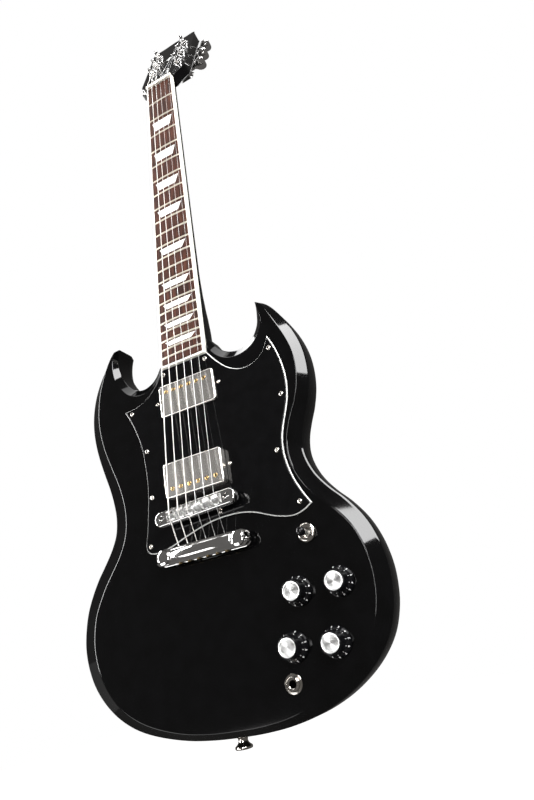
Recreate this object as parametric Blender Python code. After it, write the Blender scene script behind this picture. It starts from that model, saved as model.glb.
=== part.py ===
"""Solid-body electric guitar with two humbucking pickups, modelled standing upright.

Frame: +Z runs up the body towards the headstock, the front faces -Y and the treble side is +X.
The origin is the centre of the end strap button's outer face. Lengths below are millimetres.

Three local frames carry the parts. In each one x is towards the treble side, y is backwards and
z is towards the headstock:
  BODY  on the body's front face, level with the end of the fingerboard
  NECK  on the fingerboard's top plane, at the front edge of the nut
  HEAD  on the headstock's front face, behind the nut
"""

import math

import bmesh
import bpy
from mathutils import Matrix, Vector

MM = 0.001
GAP = 0.3

# Body
BODY_THICKNESS = 35.0
BODY_LENGTH = 372.0
BOARD_END_HEIGHT = 382.0
FRONT_BEVEL_DEPTH = 7.0
BACK_BEVEL_DEPTH = 7.0
BACK_BEVEL_SHARE = 0.6
TOP_WALL = 7.0
PICKUP_CAVITY_DEPTH = 25.0
COVER_RECESS = 2.4
COVER_LEDGE = 4.5

# Neck and fingerboard; S runs from the nut towards the bridge
SCALE_LENGTH = 628.65
NECK_ANGLE = math.radians(4.14)
HEAD_ANGLE = math.radians(17.8)
BOARD_RISE = 3.94
JOIN_S = 458.0
FRETS = 22
BOARD_END_S = 463.3
BOARD_THICKNESS = 6.2
BOARD_RADIUS = 305.0
BOARD_CROWN = 0.4
FRET_HEIGHT = 1.0
FRET_HALF_WIDTH = 1.2
NUT_HALF_WIDTH = 21.5
END_HALF_WIDTH = 28.5
BINDING_WIDTH = 2.3
NUT_THICKNESS = 5.0
HEEL_DOWN = -14.0
TENON_END_S = 479.0
TENON_HALF_WIDTH = 19.0
HEAD_DROP = 4.3
HEAD_THICKNESS = 14.5

# Tuners, measured in the HEAD frame
TUNER_FIRST = 57.5
TUNER_PITCH = 39.2
TUNER_X = (22.3, 23.0, 23.7)
WORM_DEPTH = 20.0
WORM_OFFSET = 8.6

# Hardware on the body: (x, distance below the end of the fingerboard)
NECK_PICKUP = (0.5, 45.0)
BRIDGE_PICKUP = (-0.5, 134.5)
NECK_PICKUP_TOP = 5.2
BRIDGE_PICKUP_TOP = 11.0
COVER_HALF_LENGTH = 34.6
COVER_HALF_WIDTH = 18.4
COVER_DEPTH = 16.0
BRIDGE_DOWN = 171.0
BRIDGE_SLANT = math.radians(2.8)
BRIDGE_POST_X = 37.0
BRIDGE_TOP = 17.8
BRIDGE_BOTTOM = 9.6
TAIL_DOWN = 209.5
STUD_X = 41.5
KNOBS = {
    "neck_volume_knob": (85.0, 265.0),
    "bridge_volume_knob": (124.5, 264.5),
    "neck_tone_knob": (72.5, 308.5),
    "bridge_tone_knob": (111.0, 311.0),
}
TOGGLE = (103.0, 218.0)
JACK = (65.5, 337.0)
HEEL_BUTTON_DOWN = 12.0
STRAP_HOLE = 2.3
STRAP_SCREW = 1.8
GUARD_BOTTOM = 0.3
GUARD_TOP = 2.3

# Strings, bass to treble
STRING_RADII = (0.58, 0.46, 0.33, 0.22, 0.17, 0.13)
NUT_SPREAD = 35.6
SADDLE_SPREAD = 51.6
SADDLE_HALF_WIDTH = 3.6
SADDLE_SETBACKS = (2.6, 1.6, 0.6, 1.8, 0.9, 0.1)
STRING_AT_NUT = -2.1
STRING_AT_SADDLE = -4.6

FRONTWARD = Matrix.Rotation(math.radians(90), 4, "X")
BACKWARD = Matrix.Rotation(math.radians(-90), 4, "X")
DOWNWARD = Matrix.Rotation(math.radians(180), 4, "X")
BODY = Matrix.Translation((0, -BODY_THICKNESS / 2, BOARD_END_HEIGHT))
NECK = (
    BODY
    @ Matrix.Translation((0, -BOARD_RISE, 0))
    @ Matrix.Rotation(-NECK_ANGLE, 4, "X")
    @ Matrix.Translation((0, 0, JOIN_S))
)
HEAD = NECK @ Matrix.Translation((0, HEAD_DROP, NUT_THICKNESS)) @ Matrix.Rotation(-HEAD_ANGLE, 4, "X")

# Body outline from the bass side of the neck round to the treble side: (x, down, bevel width)
BODY_KNOTS = (
    (-29, -14, 3), (-36, -3, 7), (-42, 6, 9), (-50, 12.5, 10), (-61, 15.5, 9.5), (-72, 12, 9),
    (-81, 3, 8.5), (-88, -9, 7.5), (-91.5, -22, 5.5), (-92, -35, 3), (-89.5, -47, 1.5),
    (-101, -38, 3.5), (-115, -23, 8), (-126, -4, 11), (-132.5, 16, 13), (-135, 36, 14),
    (-134, 56, 14.5), (-130, 77, 15), (-124, 98, 16), (-118, 117, 17), (-114, 134, 18),
    (-112, 151, 18.5), (-114, 168, 19), (-121, 183, 19), (-131, 197, 18.5), (-141, 210, 18.5),
    (-150, 225, 18.5), (-157, 241, 18), (-161, 259, 18), (-162, 276, 18), (-159, 294, 17.5),
    (-152, 312, 16.5), (-140, 329, 14.5), (-124, 343.5, 12), (-104, 355, 10), (-80, 363, 8),
    (-50, 369, 6.5), (-22, 371.5, 6), (4, 372, 6), (28, 371.5, 6), (54, 369, 6.5),
    (80, 363.5, 8), (104, 354.5, 9.5), (125, 342.5, 11), (142, 328.5, 12), (155, 312, 12.5),
    (163, 293, 13), (166.5, 275, 13), (167, 256, 13), (163.5, 235, 13), (156, 215, 13),
    (144, 196.5, 13.5), (131, 181.5, 14), (121, 167, 14.5), (115, 152, 14.5), (113, 138, 14),
    (115, 124, 13), (120, 110, 12), (127, 94, 11), (132.5, 75, 10.5), (134.5, 55, 10),
    (133, 35, 10), (127.5, 15, 10), (119, -4, 9), (109.5, -20, 6), (101.5, -28.5, 3),
    (92.5, -33, 1.5), (91.5, -20, 5), (89.5, -8, 8), (84, 2.5, 9), (76, 9.5, 9.5),
    (66, 12.5, 10), (56, 11.5, 10), (47, 7.5, 9), (38, -1, 7), (30, -14, 3),
)
BODY_CORNERS = (0, 10, 66, 75)

# Pickguard outline, from the bass corner of the fingerboard's end: (x, down)
GUARD_KNOTS = (
    (-30, 6), (-33.5, 13), (-40, 22), (-49, 30), (-59, 35.5), (-70, 38.5), (-83, 39.5),
    (-77, 51), (-70, 69), (-65, 87), (-63, 106), (-62, 125), (-63, 143), (-65, 160),
    (-68, 179), (-70.5, 191), (-68, 198), (-60, 201), (-49, 200.5), (-38, 198), (-26, 194),
    (-13, 190), (0, 186.7), (13, 184.5), (26, 183.8), (39, 184.3), (51, 186.5), (61, 190),
    (71, 194.5), (81, 198), (90, 200), (98, 200), (106, 197.5), (114, 193),
    (108, 182), (102, 168), (98, 153), (96.5, 138), (98, 124), (102, 111), (107, 98),
    (111, 85), (113, 70), (112.5, 55), (110, 40), (106, 26), (101, 14),
    (98.5, 20.5), (94, 28), (87, 34.5), (79, 38), (70, 39), (61, 37), (51, 31), (42, 22),
    (35, 13), (30, 6),
)
GUARD_CORNERS = (0, 6, 33, 46, 56)

# Control cavity outline behind the knobs, switch and jack: (x, down)
CAVITY_KNOTS = (
    (103, 201), (122, 206), (130, 232), (143, 252), (142, 280), (131, 318), (112, 330),
    (84, 346), (66, 350), (51, 340), (53, 312), (66, 268), (74, 238), (84, 206),
)

# Circuit board in the control cavity: (x, down)
BOARD_CORNERS = (
    (74, 252), (138, 256), (137, 280), (127, 316), (112, 325), (60, 325), (57, 312), (69, 270),
)

# Half outline of the headstock: (x, height above the nut), foot to top
HEAD_HALF_OUTLINE = (
    (20.5, 1), (22.0, 4), (25, 9.5), (30.5, 17), (36, 25), (38.2, 36), (38.4, 70), (38.9, 120),
    (39.4, 160), (38.6, 169), (34.5, 174), (24, 173.4), (12, 174.8),
)
HEAD_TOP = 176.5


def body_point(x, down, depth):
    """World point at x, down from the fingerboard's end, and depth behind the front face."""
    return BODY @ Vector((x, depth, -down))


def at(frame, x, y, z):
    return frame @ Matrix.Translation((x, y, z))


def shell(rings, looped=False):
    """Closed skin over rings of points: capped at both ends, or looped back to the first ring."""
    bm = bmesh.new()
    rows = [[bm.verts.new(point) for point in ring] for ring in rings]
    count = len(rings[0])
    pairs = list(zip(rows, rows[1:]))
    if looped:
        pairs.append((rows[-1], rows[0]))
    for lower, upper in pairs:
        for i in range(count):
            j = (i + 1) % count
            bm.faces.new((lower[i], lower[j], upper[j], upper[i]))
    if not looped:
        bm.faces.new(list(reversed(rows[0])))
        bm.faces.new(rows[-1])
    bmesh.ops.recalc_face_normals(bm, faces=bm.faces)
    return bm


def prism(frame, outline, low, high):
    """Outline of (x, z) points in a frame, extruded along its y from low to high."""
    return shell([[frame @ Vector((x, y, z)) for x, z in outline] for y in (low, high)])


def box(frame, low, high):
    corners = ((low[0], low[2]), (high[0], low[2]), (high[0], high[2]), (low[0], high[2]))
    return prism(frame, corners, low[1], high[1])


def turned(frame, profile, segments, looped=False):
    """Profile of (radius, height) turned about the frame's z axis."""
    rings = []
    for radius, height in profile:
        ring = []
        for k in range(segments):
            angle = 2 * math.pi * k / segments
            ring.append(frame @ Vector((radius * math.cos(angle), radius * math.sin(angle), height)))
        rings.append(ring)
    return shell(rings, looped)


def rounded_rectangle(half_x, half_z, radius, steps=3):
    points = []
    for quarter in range(4):
        centre_x = (half_x - radius) * (1 if quarter in (0, 3) else -1)
        centre_z = (half_z - radius) * (1 if quarter in (0, 1) else -1)
        for k in range(steps + 1):
            angle = math.pi / 2 * (quarter + k / steps)
            points.append((centre_x + radius * math.cos(angle), centre_z + radius * math.sin(angle)))
    return points


def tube(points, radius, sides):
    """Round rod along a polyline, with flat ends."""
    rings = []
    side = Vector((1, 0, 0))
    for i, point in enumerate(points):
        before = points[max(i - 1, 0)]
        after = points[min(i + 1, len(points) - 1)]
        along = (after - before).normalized()
        side = (side - along * side.dot(along)).normalized()
        other = along.cross(side)
        ring = []
        for k in range(sides):
            angle = 2 * math.pi * k / sides
            ring.append(point + radius * (math.cos(angle) * side + math.sin(angle) * other))
        rings.append(ring)
    return shell(rings)


def spline(knots, corners, samples):
    """Closed Catmull-Rom curve through the knots, broken at the corners."""
    total = len(knots)
    points = []
    for i in range(total):
        start = Vector(knots[i])
        end = Vector(knots[(i + 1) % total])
        before = 2 * start - end if i in corners else Vector(knots[i - 1])
        after = 2 * end - start if (i + 1) % total in corners else Vector(knots[(i + 2) % total])
        for k in range(samples):
            t = k / samples
            point = start * 2 + (end - before) * t
            point += (before * 2 - start * 5 + end * 4 - after) * t**2
            point += (start * 3 - before - end * 3 + after) * t**3
            points.append(point / 2)
    return points


def inset(outline, widths):
    """Outline of (x, down) points moved inwards by a width at each point; corners are mitred."""
    moved = []
    total = len(outline)
    for i in range(total):
        here = Vector(outline[i][:2])
        back = (here - Vector(outline[i - 1][:2])).normalized()
        ahead = (Vector(outline[(i + 1) % total][:2]) - here).normalized()
        along = (back + ahead).normalized()
        mitre = min(1 / max(along.dot(ahead), 0.2), 1.8)
        inward = Vector((along.y, -along.x))
        moved.append(here + inward * widths[i] * mitre)
    return [(point.x, point.y) for point in moved]


def add_material(obj, colour, roughness, metallic):
    material = bpy.data.materials.new(obj.name + "_finish")
    material.use_nodes = True
    shader = material.node_tree.nodes["Principled BSDF"]
    shader.inputs["Base Color"].default_value = (*colour, 1)
    shader.inputs["Roughness"].default_value = roughness
    shader.inputs["Metallic"].default_value = metallic
    obj.data.materials.append(material)


BLACK_LACQUER = ((0.008, 0.008, 0.009), 0.12, 0.0)
ROSEWOOD = ((0.07, 0.022, 0.013), 0.45, 0.0)
CREAM = ((0.83, 0.8, 0.72), 0.35, 0.0)
BLACK_PLASTIC = ((0.012, 0.012, 0.013), 0.25, 0.0)
CHROME = ((0.78, 0.78, 0.78), 0.08, 1.0)
NICKEL = ((0.66, 0.62, 0.56), 0.15, 1.0)
STEEL = ((0.5, 0.5, 0.5), 0.3, 1.0)
CIRCUIT = ((0.03, 0.16, 0.08), 0.5, 0.0)


def finish(bm, name, pivot, smooth_degrees=35):
    """Mesh object from millimetre geometry in world space, with its origin on the pivot."""
    bmesh.ops.triangulate(bm, faces=bm.faces)
    bmesh.ops.transform(bm, matrix=Matrix.Scale(MM, 4) @ Matrix.Translation(-pivot), verts=bm.verts)
    mesh = bpy.data.meshes.new(name)
    bm.to_mesh(mesh)
    bm.free()
    mesh.shade_smooth()
    mesh.set_sharp_from_angle(angle=math.radians(smooth_degrees))
    obj = bpy.data.objects.new(name, mesh)
    obj.location = pivot * MM
    bpy.context.scene.collection.objects.link(obj)
    return obj


def make(name, bm, look, pivot=None):
    obj = finish(bm, name, pivot or Vector((0, 0, 0)))
    add_material(obj, *look)
    return obj


def operate(obj, operation, operands):
    """Boolean each operand into the object: 'DIFFERENCE' cuts it away, 'UNION' joins it on."""
    for bm in operands:
        number = len(obj.modifiers)
        operand = finish(bm, f"{obj.name}_operand_{number}", Vector((0, 0, 0)))
        operand.hide_render = True
        operand.display_type = "WIRE"
        modifier = obj.modifiers.new(f"{operation.lower()}_{number}", "BOOLEAN")
        modifier.operation = operation
        modifier.solver = "EXACT"
        modifier.object = operand


def lerp(a, b, t):
    return a + (b - a) * t


def board_half_width(s):
    return lerp(NUT_HALF_WIDTH, END_HALF_WIDTH, s / BOARD_END_S)


def fret_position(number):
    return SCALE_LENGTH * (1 - 2 ** (-number / 12))


def crown(x):
    """Height (y, negative is forwards) of the fingerboard's cambered top in the NECK frame."""
    return x * x / (2 * BOARD_RADIUS) - BOARD_CROWN


def string_x(index, spread):
    return spread * (index / 5 - 0.5)


def string_point(index, s):
    """Centre of a string in the NECK frame, between the nut and its saddle."""
    t = s / SCALE_LENGTH
    x = lerp(string_x(index, NUT_SPREAD), string_x(index, SADDLE_SPREAD), t)
    y = lerp(STRING_AT_NUT, STRING_AT_SADDLE, t) - STRING_RADII[index]
    return NECK @ Vector((x, y, -s))


def make_body():
    outline = spline(BODY_KNOTS, BODY_CORNERS, 2)
    bevels = [point[2] for point in outline]
    edge = [(point[0], point[1]) for point in outline]
    front = inset(edge, bevels)
    back = inset(edge, [width * BACK_BEVEL_SHARE for width in bevels])
    levels = (
        (front, 0.0),
        (edge, FRONT_BEVEL_DEPTH),
        (edge, BODY_THICKNESS - BACK_BEVEL_DEPTH),
        (back, BODY_THICKNESS),
    )
    rings = [[body_point(x, down, depth) for x, down in points] for points, depth in levels]
    obj = make("body", shell(rings), BLACK_LACQUER)

    cavity = [(x, -down) for x, down in cavity_outline()]
    recess = cavity_cover_outline(GAP)
    pocket_floor = BODY_THICKNESS - 14.5
    cutters = [
        prism(BODY, cavity, TOP_WALL, BODY_THICKNESS + 1),
        prism(BODY, recess, BODY_THICKNESS - COVER_RECESS, BODY_THICKNESS + 1),
        box(BODY, (-TENON_HALF_WIDTH - GAP, -2, -26), (TENON_HALF_WIDTH + GAP, pocket_floor, 22)),
        box(NECK, (-30, -20, -BOARD_END_S - GAP), (30, BOARD_THICKNESS + GAP, -420)),
    ]
    for x, down in (NECK_PICKUP, BRIDGE_PICKUP):
        hollow = rounded_rectangle(46, 21, 4)
        cutters.append(prism(at(BODY, x, 0, -down), hollow, -1, PICKUP_CAVITY_DEPTH))
    cutters.append(box(BODY, (40, 12, -140), (50, 21, -60)))
    channel = at(BODY, 62, 0, -188) @ Matrix.Rotation(math.radians(38), 4, "Y")
    cutters.append(box(channel, (-5, 12, -62), (5, 21, 62)))
    for x, down in KNOBS.values():
        cutters.append(turned(at(BODY, x, 10, -down) @ FRONTWARD, ((4.6, 0), (4.6, 12)), 10))
    for (x, down), radius in ((TOGGLE, 6.4), (JACK, 5.2)):
        cutters.append(turned(at(BODY, x, 10, -down) @ FRONTWARD, ((radius, 0), (radius, 12)), 14))
    for side in (-1, 1):
        x, down = bridge_point(side * BRIDGE_POST_X)
        cutters.append(turned(at(BODY, x, -1, -down) @ BACKWARD, ((3.2, 0), (3.2, 20)), 10))
        stud_hole = at(BODY, side * STUD_X, -1, -TAIL_DOWN) @ BACKWARD
        cutters.append(turned(stud_hole, ((4.8, 0), (4.8, 22)), 12))
    end_hole = Matrix.Translation((0, 0, BOARD_END_HEIGHT - BODY_LENGTH - 1))
    cutters.append(turned(end_hole, ((STRAP_HOLE, 0), (STRAP_HOLE, 24)), 8))
    heel_hole = at(BODY, 0, BODY_THICKNESS + 1, -HEEL_BUTTON_DOWN) @ FRONTWARD
    cutters.append(turned(heel_hole, ((STRAP_HOLE, 0), (STRAP_HOLE, 13)), 8))
    operate(obj, "DIFFERENCE", cutters)


def cavity_outline():
    return [(x, down) for x, down, _ in spline([(*knot, 0) for knot in CAVITY_KNOTS], (), 2)]


def cavity_cover_outline(clearance):
    """Outline of the cover in (x, z). The cavity's knots run clockwise, so an inset grows it."""
    points = cavity_outline()
    grown = inset(points, [COVER_LEDGE + clearance] * len(points))
    return [(x, -down) for x, down in grown]


def bridge_point(along):
    """Body coordinates (x, down) of a point along the slanted bridge."""
    return along * math.cos(BRIDGE_SLANT), BRIDGE_DOWN - along * math.sin(BRIDGE_SLANT)


def make_neck():
    # (s, half width, top y, back y, squareness of the back)
    stations = (
        (-26, 21.5, 12.5, 25.0, 2.4), (-14, 20.5, 9.0, 24.6, 2.3), (-5.4, 21.0, 6.5, 22.6, 2.1),
        (8, 21.6, 6.5, 21.0, 2.0), (120, 23.3, 6.5, 21.8, 2.0), (260, 25.4, 6.5, 23.0, 2.0),
        (350, 26.8, 6.5, 24.6, 2.1), (376, 27.2, 6.5, 27.0, 2.3), (396, 27.5, 6.5, 30.2, 2.6),
        (412, 27.7, 6.5, 33.0, 3.0), (426, 27.9, 6.5, 34.6, 3.3), (441, 28.1, 6.5, 35.2, 3.5),
    )
    steps = 12
    rings = []
    for s, half, top, back, power in stations:
        shoulder = top + 1.0
        ring = [Vector((half, top, -s)), Vector((-half, top, -s))]
        for k in range(steps + 1):
            angle = math.pi * k / steps
            cosine = math.cos(angle)
            x = -half * math.copysign(abs(cosine) ** (2 / power), cosine)
            y = lerp(shoulder, back, math.sin(angle) ** (2 / power))
            ring.append(Vector((x, y, -s)))
        rings.append([NECK @ point for point in ring])
    for point in rings[-1]:
        point.z = BOARD_END_HEIGHT - HEEL_DOWN + GAP
    obj = make("neck", shell(rings), BLACK_LACQUER)
    half = list(HEAD_HALF_OUTLINE)
    outline = half + [(0, HEAD_TOP)] + [(-x, z) for x, z in reversed(half)]
    tenon_low = (-TENON_HALF_WIDTH, BOARD_THICKNESS + 2 * GAP, -TENON_END_S)
    tenon = box(NECK, tenon_low, (TENON_HALF_WIDTH, 22.0, -434))
    operate(obj, "UNION", [prism(HEAD, outline, 0, HEAD_THICKNESS), tenon])
    cutters = [
        box(NECK, (-3.6, 3, -432), (3.6, 13.6, 12)),
        box(HEAD, (-6, -4, 3), (6, 9.5, 24)),
    ]
    for side in (-1, 1):
        for k, x in enumerate(TUNER_X):
            hole = at(HEAD, side * x, -1, TUNER_FIRST + k * TUNER_PITCH) @ BACKWARD
            cutters.append(turned(hole, ((5.3, 0), (5.3, 17)), 12))
    operate(obj, "DIFFERENCE", cutters)


def make_fretboard():
    stations = [(GAP, 0.0)]
    for number in range(1, FRETS + 1):
        s = fret_position(number)
        stations += [(s - FRET_HALF_WIDTH, 0.0), (s, FRET_HEIGHT), (s + FRET_HALF_WIDTH, 0.0)]
    stations.append((BOARD_END_S - BINDING_WIDTH - 0.2, 0.0))
    rings = []
    for s, rise in stations:
        half = board_half_width(s) - BINDING_WIDTH - 0.2
        ring = [Vector((-half, BOARD_THICKNESS, -s)), Vector((half, BOARD_THICKNESS, -s))]
        for share in (1, 0.5, 0, -0.5, -1):
            x = half * share
            ring.append(Vector((x, crown(x) - rise, -s)))
        rings.append([NECK @ point for point in ring])
    make("fretboard", shell(rings), ROSEWOOD)


def make_binding():
    def inner(s):
        return board_half_width(s) - BINDING_WIDTH

    end = BOARD_END_S
    strip = end - BINDING_WIDTH
    corners = (
        (-NUT_HALF_WIDTH, GAP), (-END_HALF_WIDTH, end), (END_HALF_WIDTH, end),
        (NUT_HALF_WIDTH, GAP), (inner(GAP), GAP), (inner(strip), strip),
        (-inner(strip), strip), (-inner(GAP), GAP),
    )
    top = [NECK @ Vector((x, lerp(0.15, 0.7, s / end), -s)) for x, s in corners]
    bottom = [NECK @ Vector((x, BOARD_THICKNESS, -s)) for x, s in corners]
    make("fretboard_binding", shell([top, bottom]), CREAM)


def make_nut():
    """Bone nut with six string slots, its slot floors just under the strings."""
    lip = STRING_AT_NUT - 1.0
    profile = [(NUT_HALF_WIDTH - 0.3, BOARD_THICKNESS), (-NUT_HALF_WIDTH + 0.3, BOARD_THICKNESS)]
    profile += [(-NUT_HALF_WIDTH + 0.3, lip + 1.2), (-NUT_HALF_WIDTH + 1.5, lip)]
    for index, radius in enumerate(STRING_RADII):
        x = string_x(index, NUT_SPREAD)
        half = radius + 0.3
        floor = STRING_AT_NUT + 0.3
        profile += [(x - half, lip), (x - half * 0.8, floor), (x + half * 0.8, floor), (x + half, lip)]
    profile += [(NUT_HALF_WIDTH - 1.5, lip), (NUT_HALF_WIDTH - 0.3, lip + 1.2)]
    rings = [[NECK @ Vector((x, y, z)) for x, y in profile] for z in (0.0, NUT_THICKNESS)]
    make("nut", shell(rings), CREAM)


def make_truss_rod():
    rod = at(NECK, 0, 10.0, 11.0) @ DOWNWARD
    make("truss_rod", turned(rod, ((3.0, 0), (3.0, 7), (2.6, 7), (2.6, 440)), 8), STEEL)


def bell_outline(width):
    """Bell-shaped cover, wide at the nut and narrow above: (x, z) in the HEAD frame."""
    half = [(15, 3.0), (14.6, 9), (12, 15), (9.2, 22), (7.8, 31), (7.6, 42), (7.0, 50), (4.5, 55)]
    half = [(x - width, z + (width if z < 4 else 0)) for x, z in half]
    return half + [(0, 57 - width)] + [(-x, z) for x, z in reversed(half)]


def make_truss_rod_cover():
    rings = []
    for y, shrink in ((-GAP, 0.0), (-1.0, 0.0), (-1.8, 0.9)):
        rings.append([HEAD @ Vector((x, y, z)) for x, z in bell_outline(shrink)])
    make("truss_rod_cover", shell(rings), BLACK_PLASTIC)


def make_pickguard():
    outline = [(x, down) for x, down, _ in spline([(*k, 0) for k in GUARD_KNOTS], GUARD_CORNERS, 1)]
    top = inset(outline, [1.3] * len(outline))
    levels = ((outline, -GUARD_BOTTOM), (outline, -GUARD_BOTTOM - 0.7), (top, -GUARD_TOP))
    rings = [[body_point(x, down, depth) for x, down in points] for points, depth in levels]
    obj = make("pickguard", shell(rings), BLACK_PLASTIC)
    window = rounded_rectangle(COVER_HALF_LENGTH + 0.5, COVER_HALF_WIDTH + 0.5, 3)
    cutters = []
    for x, down in (NECK_PICKUP, BRIDGE_PICKUP):
        cutters.append(prism(at(BODY, x, 0, -down), window, -5, 1))
    for side in (-1, 1):
        x, down = bridge_point(side * BRIDGE_POST_X)
        cutters.append(turned(at(BODY, x, -5, -down) @ BACKWARD, ((3.8, 0), (3.8, 6)), 12))
    operate(obj, "DIFFERENCE", cutters)


def make_pickup(name, place, top):
    """Metal cover open underneath, and the coils, magnet and base plate inside it."""
    frame = at(BODY, place[0], -top, -place[1])
    outer = rounded_rectangle(COVER_HALF_LENGTH, COVER_HALF_WIDTH, 2.6)
    face = rounded_rectangle(COVER_HALF_LENGTH - 1.0, COVER_HALF_WIDTH - 1.0, 1.8)
    inner = rounded_rectangle(COVER_HALF_LENGTH - 1.2, COVER_HALF_WIDTH - 1.2, 1.6)
    levels = ((outer, COVER_DEPTH), (outer, 1.0), (face, 0.0))
    skin = [[frame @ Vector((x, y, z)) for x, z in points] for points, y in levels]
    obj = make(f"{name}_cover", shell(skin), NICKEL)
    operate(obj, "DIFFERENCE", [prism(frame, inner, 1.2, COVER_DEPTH + 1)])
    coils = rounded_rectangle(COVER_HALF_LENGTH - 1.8, COVER_HALF_WIDTH - 1.8, 2.0)
    block = make(f"{name}_coils", prism(frame, coils, 1.8, 15.8), BLACK_PLASTIC)
    plate = box(frame, (-33, 15.0, -16), (33, 17.6, 16))
    ears = box(frame, (-43, 16.4, -6), (43, 18.2, 6))
    operate(block, "UNION", [plate, ears])


def bridge_frame():
    return at(BODY, 0, 0, -BRIDGE_DOWN) @ Matrix.Rotation(-BRIDGE_SLANT, 4, "Y")


def make_bridge():
    frame = bridge_frame()
    outline = rounded_rectangle(46, 7.5, 6.5, 4)
    lip = rounded_rectangle(45.2, 6.7, 5.7, 4)
    skin = [[frame @ Vector((x, -BRIDGE_BOTTOM, z)) for x, z in outline]]
    skin.append([frame @ Vector((x, -BRIDGE_TOP + 0.8, z)) for x, z in outline])
    skin.append([frame @ Vector((x, -BRIDGE_TOP, z)) for x, z in lip])
    obj = make("bridge_body", shell(skin), CHROME)
    cutters = [box(frame, (-31.6, -25, -5.3), (31.6, -BRIDGE_BOTTOM - 2.2, 5.3))]
    for side in (-1, 1):
        post_hole = at(frame, side * BRIDGE_POST_X, -5, 0) @ FRONTWARD
        cutters.append(turned(post_hole, ((3.3, 0), (3.3, 11)), 12))
    operate(obj, "DIFFERENCE", cutters)
    for name, side in (("bridge_post_bass", -1), ("bridge_post_treble", 1)):
        base = at(frame, side * BRIDGE_POST_X, 0, 0) @ FRONTWARD
        wheel = ((2.8, -17), (2.8, 7.2), (6.4, 7.2), (6.4, 9.3), (2.9, 9.3), (2.9, 15.4))
        make(name, turned(base, wheel, 16), CHROME)


def saddle_peak(index):
    """Place where a string crosses its saddle, as a world point."""
    return string_point(index, SCALE_LENGTH + SADDLE_SETBACKS[index])


def make_saddles():
    frame = bridge_frame()
    for index, radius in enumerate(STRING_RADII):
        peak = frame.inverted() @ saddle_peak(index)
        top = peak.y + radius + 0.5
        base = -BRIDGE_BOTTOM - 2.5
        centre = max(-2.6, min(2.6, peak.z))
        profile = (
            (-2.6, base), (2.6, base), (2.6, top + 3.6), (0.5, top), (-0.5, top), (-2.6, top + 3.6),
        )
        rings = []
        for x in (peak.x - SADDLE_HALF_WIDTH, peak.x + SADDLE_HALF_WIDTH):
            rings.append([frame @ Vector((x, y, centre + z)) for z, y in profile])
        pivot = frame @ Vector((peak.x, -BRIDGE_TOP + 4, centre))
        make(f"saddle_{index + 1}", shell(rings), CHROME, pivot)


def make_tailpiece():
    frame = at(BODY, 0, 0, -TAIL_DOWN)
    profile = (
        (-7.0, -5.0), (6.4, -5.0), (7.4, -7.0), (7.2, -12.5), (4.8, -15.2), (0.5, -16.2),
        (-3.6, -15.4), (-6.4, -12.6), (-7.4, -8.0),
    )
    rings = [[frame @ Vector((x, y, z)) for z, y in profile] for x in (-33, 33)]
    obj = make("tailpiece", shell(rings), CHROME)
    lugs = rounded_rectangle(50.5, 6.6, 6.4, 4)
    operate(obj, "UNION", [prism(frame, lugs, -14.0, -7.0)])
    cutters = []
    for side in (-1, 1):
        stud_hole = at(frame, side * STUD_X, -3, 0) @ FRONTWARD
        cutters.append(turned(stud_hole, ((4.1, 0), (4.1, 16)), 12))
    for index in range(6):
        x = string_x(index, SADDLE_SPREAD)
        cutters.append(box(frame, (x - 1.1, -11.3, -12), (x + 1.1, -9.1, 12)))
    operate(obj, "DIFFERENCE", cutters)
    for name, side in (("tailpiece_stud_bass", -1), ("tailpiece_stud_treble", 1)):
        base = at(frame, side * STUD_X, 0, 0) @ FRONTWARD
        stud = ((4.4, -19), (4.4, 3.0), (6.6, 3.0), (6.6, 6.6), (3.8, 6.6), (3.8, 14.4),
                (7.2, 14.4), (7.2, 16.6), (6.4, 17.4))
        make(name, turned(base, stud, 12), CHROME)


def make_strings():
    """Each string runs from its ball in the tailpiece over saddle and nut to its tuner post."""
    tail = at(BODY, 0, 0, -TAIL_DOWN)
    for index, radius in enumerate(STRING_RADII):
        x = string_x(index, SADDLE_SPREAD)
        start = tail @ Vector((x, -10.2, -4.0))
        exit_hole = tail @ Vector((x, -10.2, 8.0))
        peak = saddle_peak(index)
        nut_front = string_point(index, 0.0)
        nut_x = string_x(index, NUT_SPREAD)
        nut_back = NECK @ Vector((nut_x, STRING_AT_NUT - radius, NUT_THICKNESS + 0.4))
        side = -1 if index < 3 else 1
        rank = index if index < 3 else 5 - index
        post_x = side * (TUNER_X[rank] - 3.4 - radius)
        post_z = TUNER_FIRST + rank * TUNER_PITCH
        end = HEAD @ Vector((post_x, -7.2 + radius, post_z))
        route = [start, exit_hole, peak, nut_front, nut_back, end]
        make(f"string_{index + 1}", tube(route, radius, 8), STEEL)


def tuner_frames():
    """(number, side, frame at the post's axis on the headstock's face), bass first, nut first."""
    frames = []
    for side in (-1, 1):
        for rank, x in enumerate(TUNER_X):
            number = rank + 1 if side < 0 else 6 - rank
            frames.append((number, side, at(HEAD, side * x, 0, TUNER_FIRST + rank * TUNER_PITCH)))
    return frames


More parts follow.
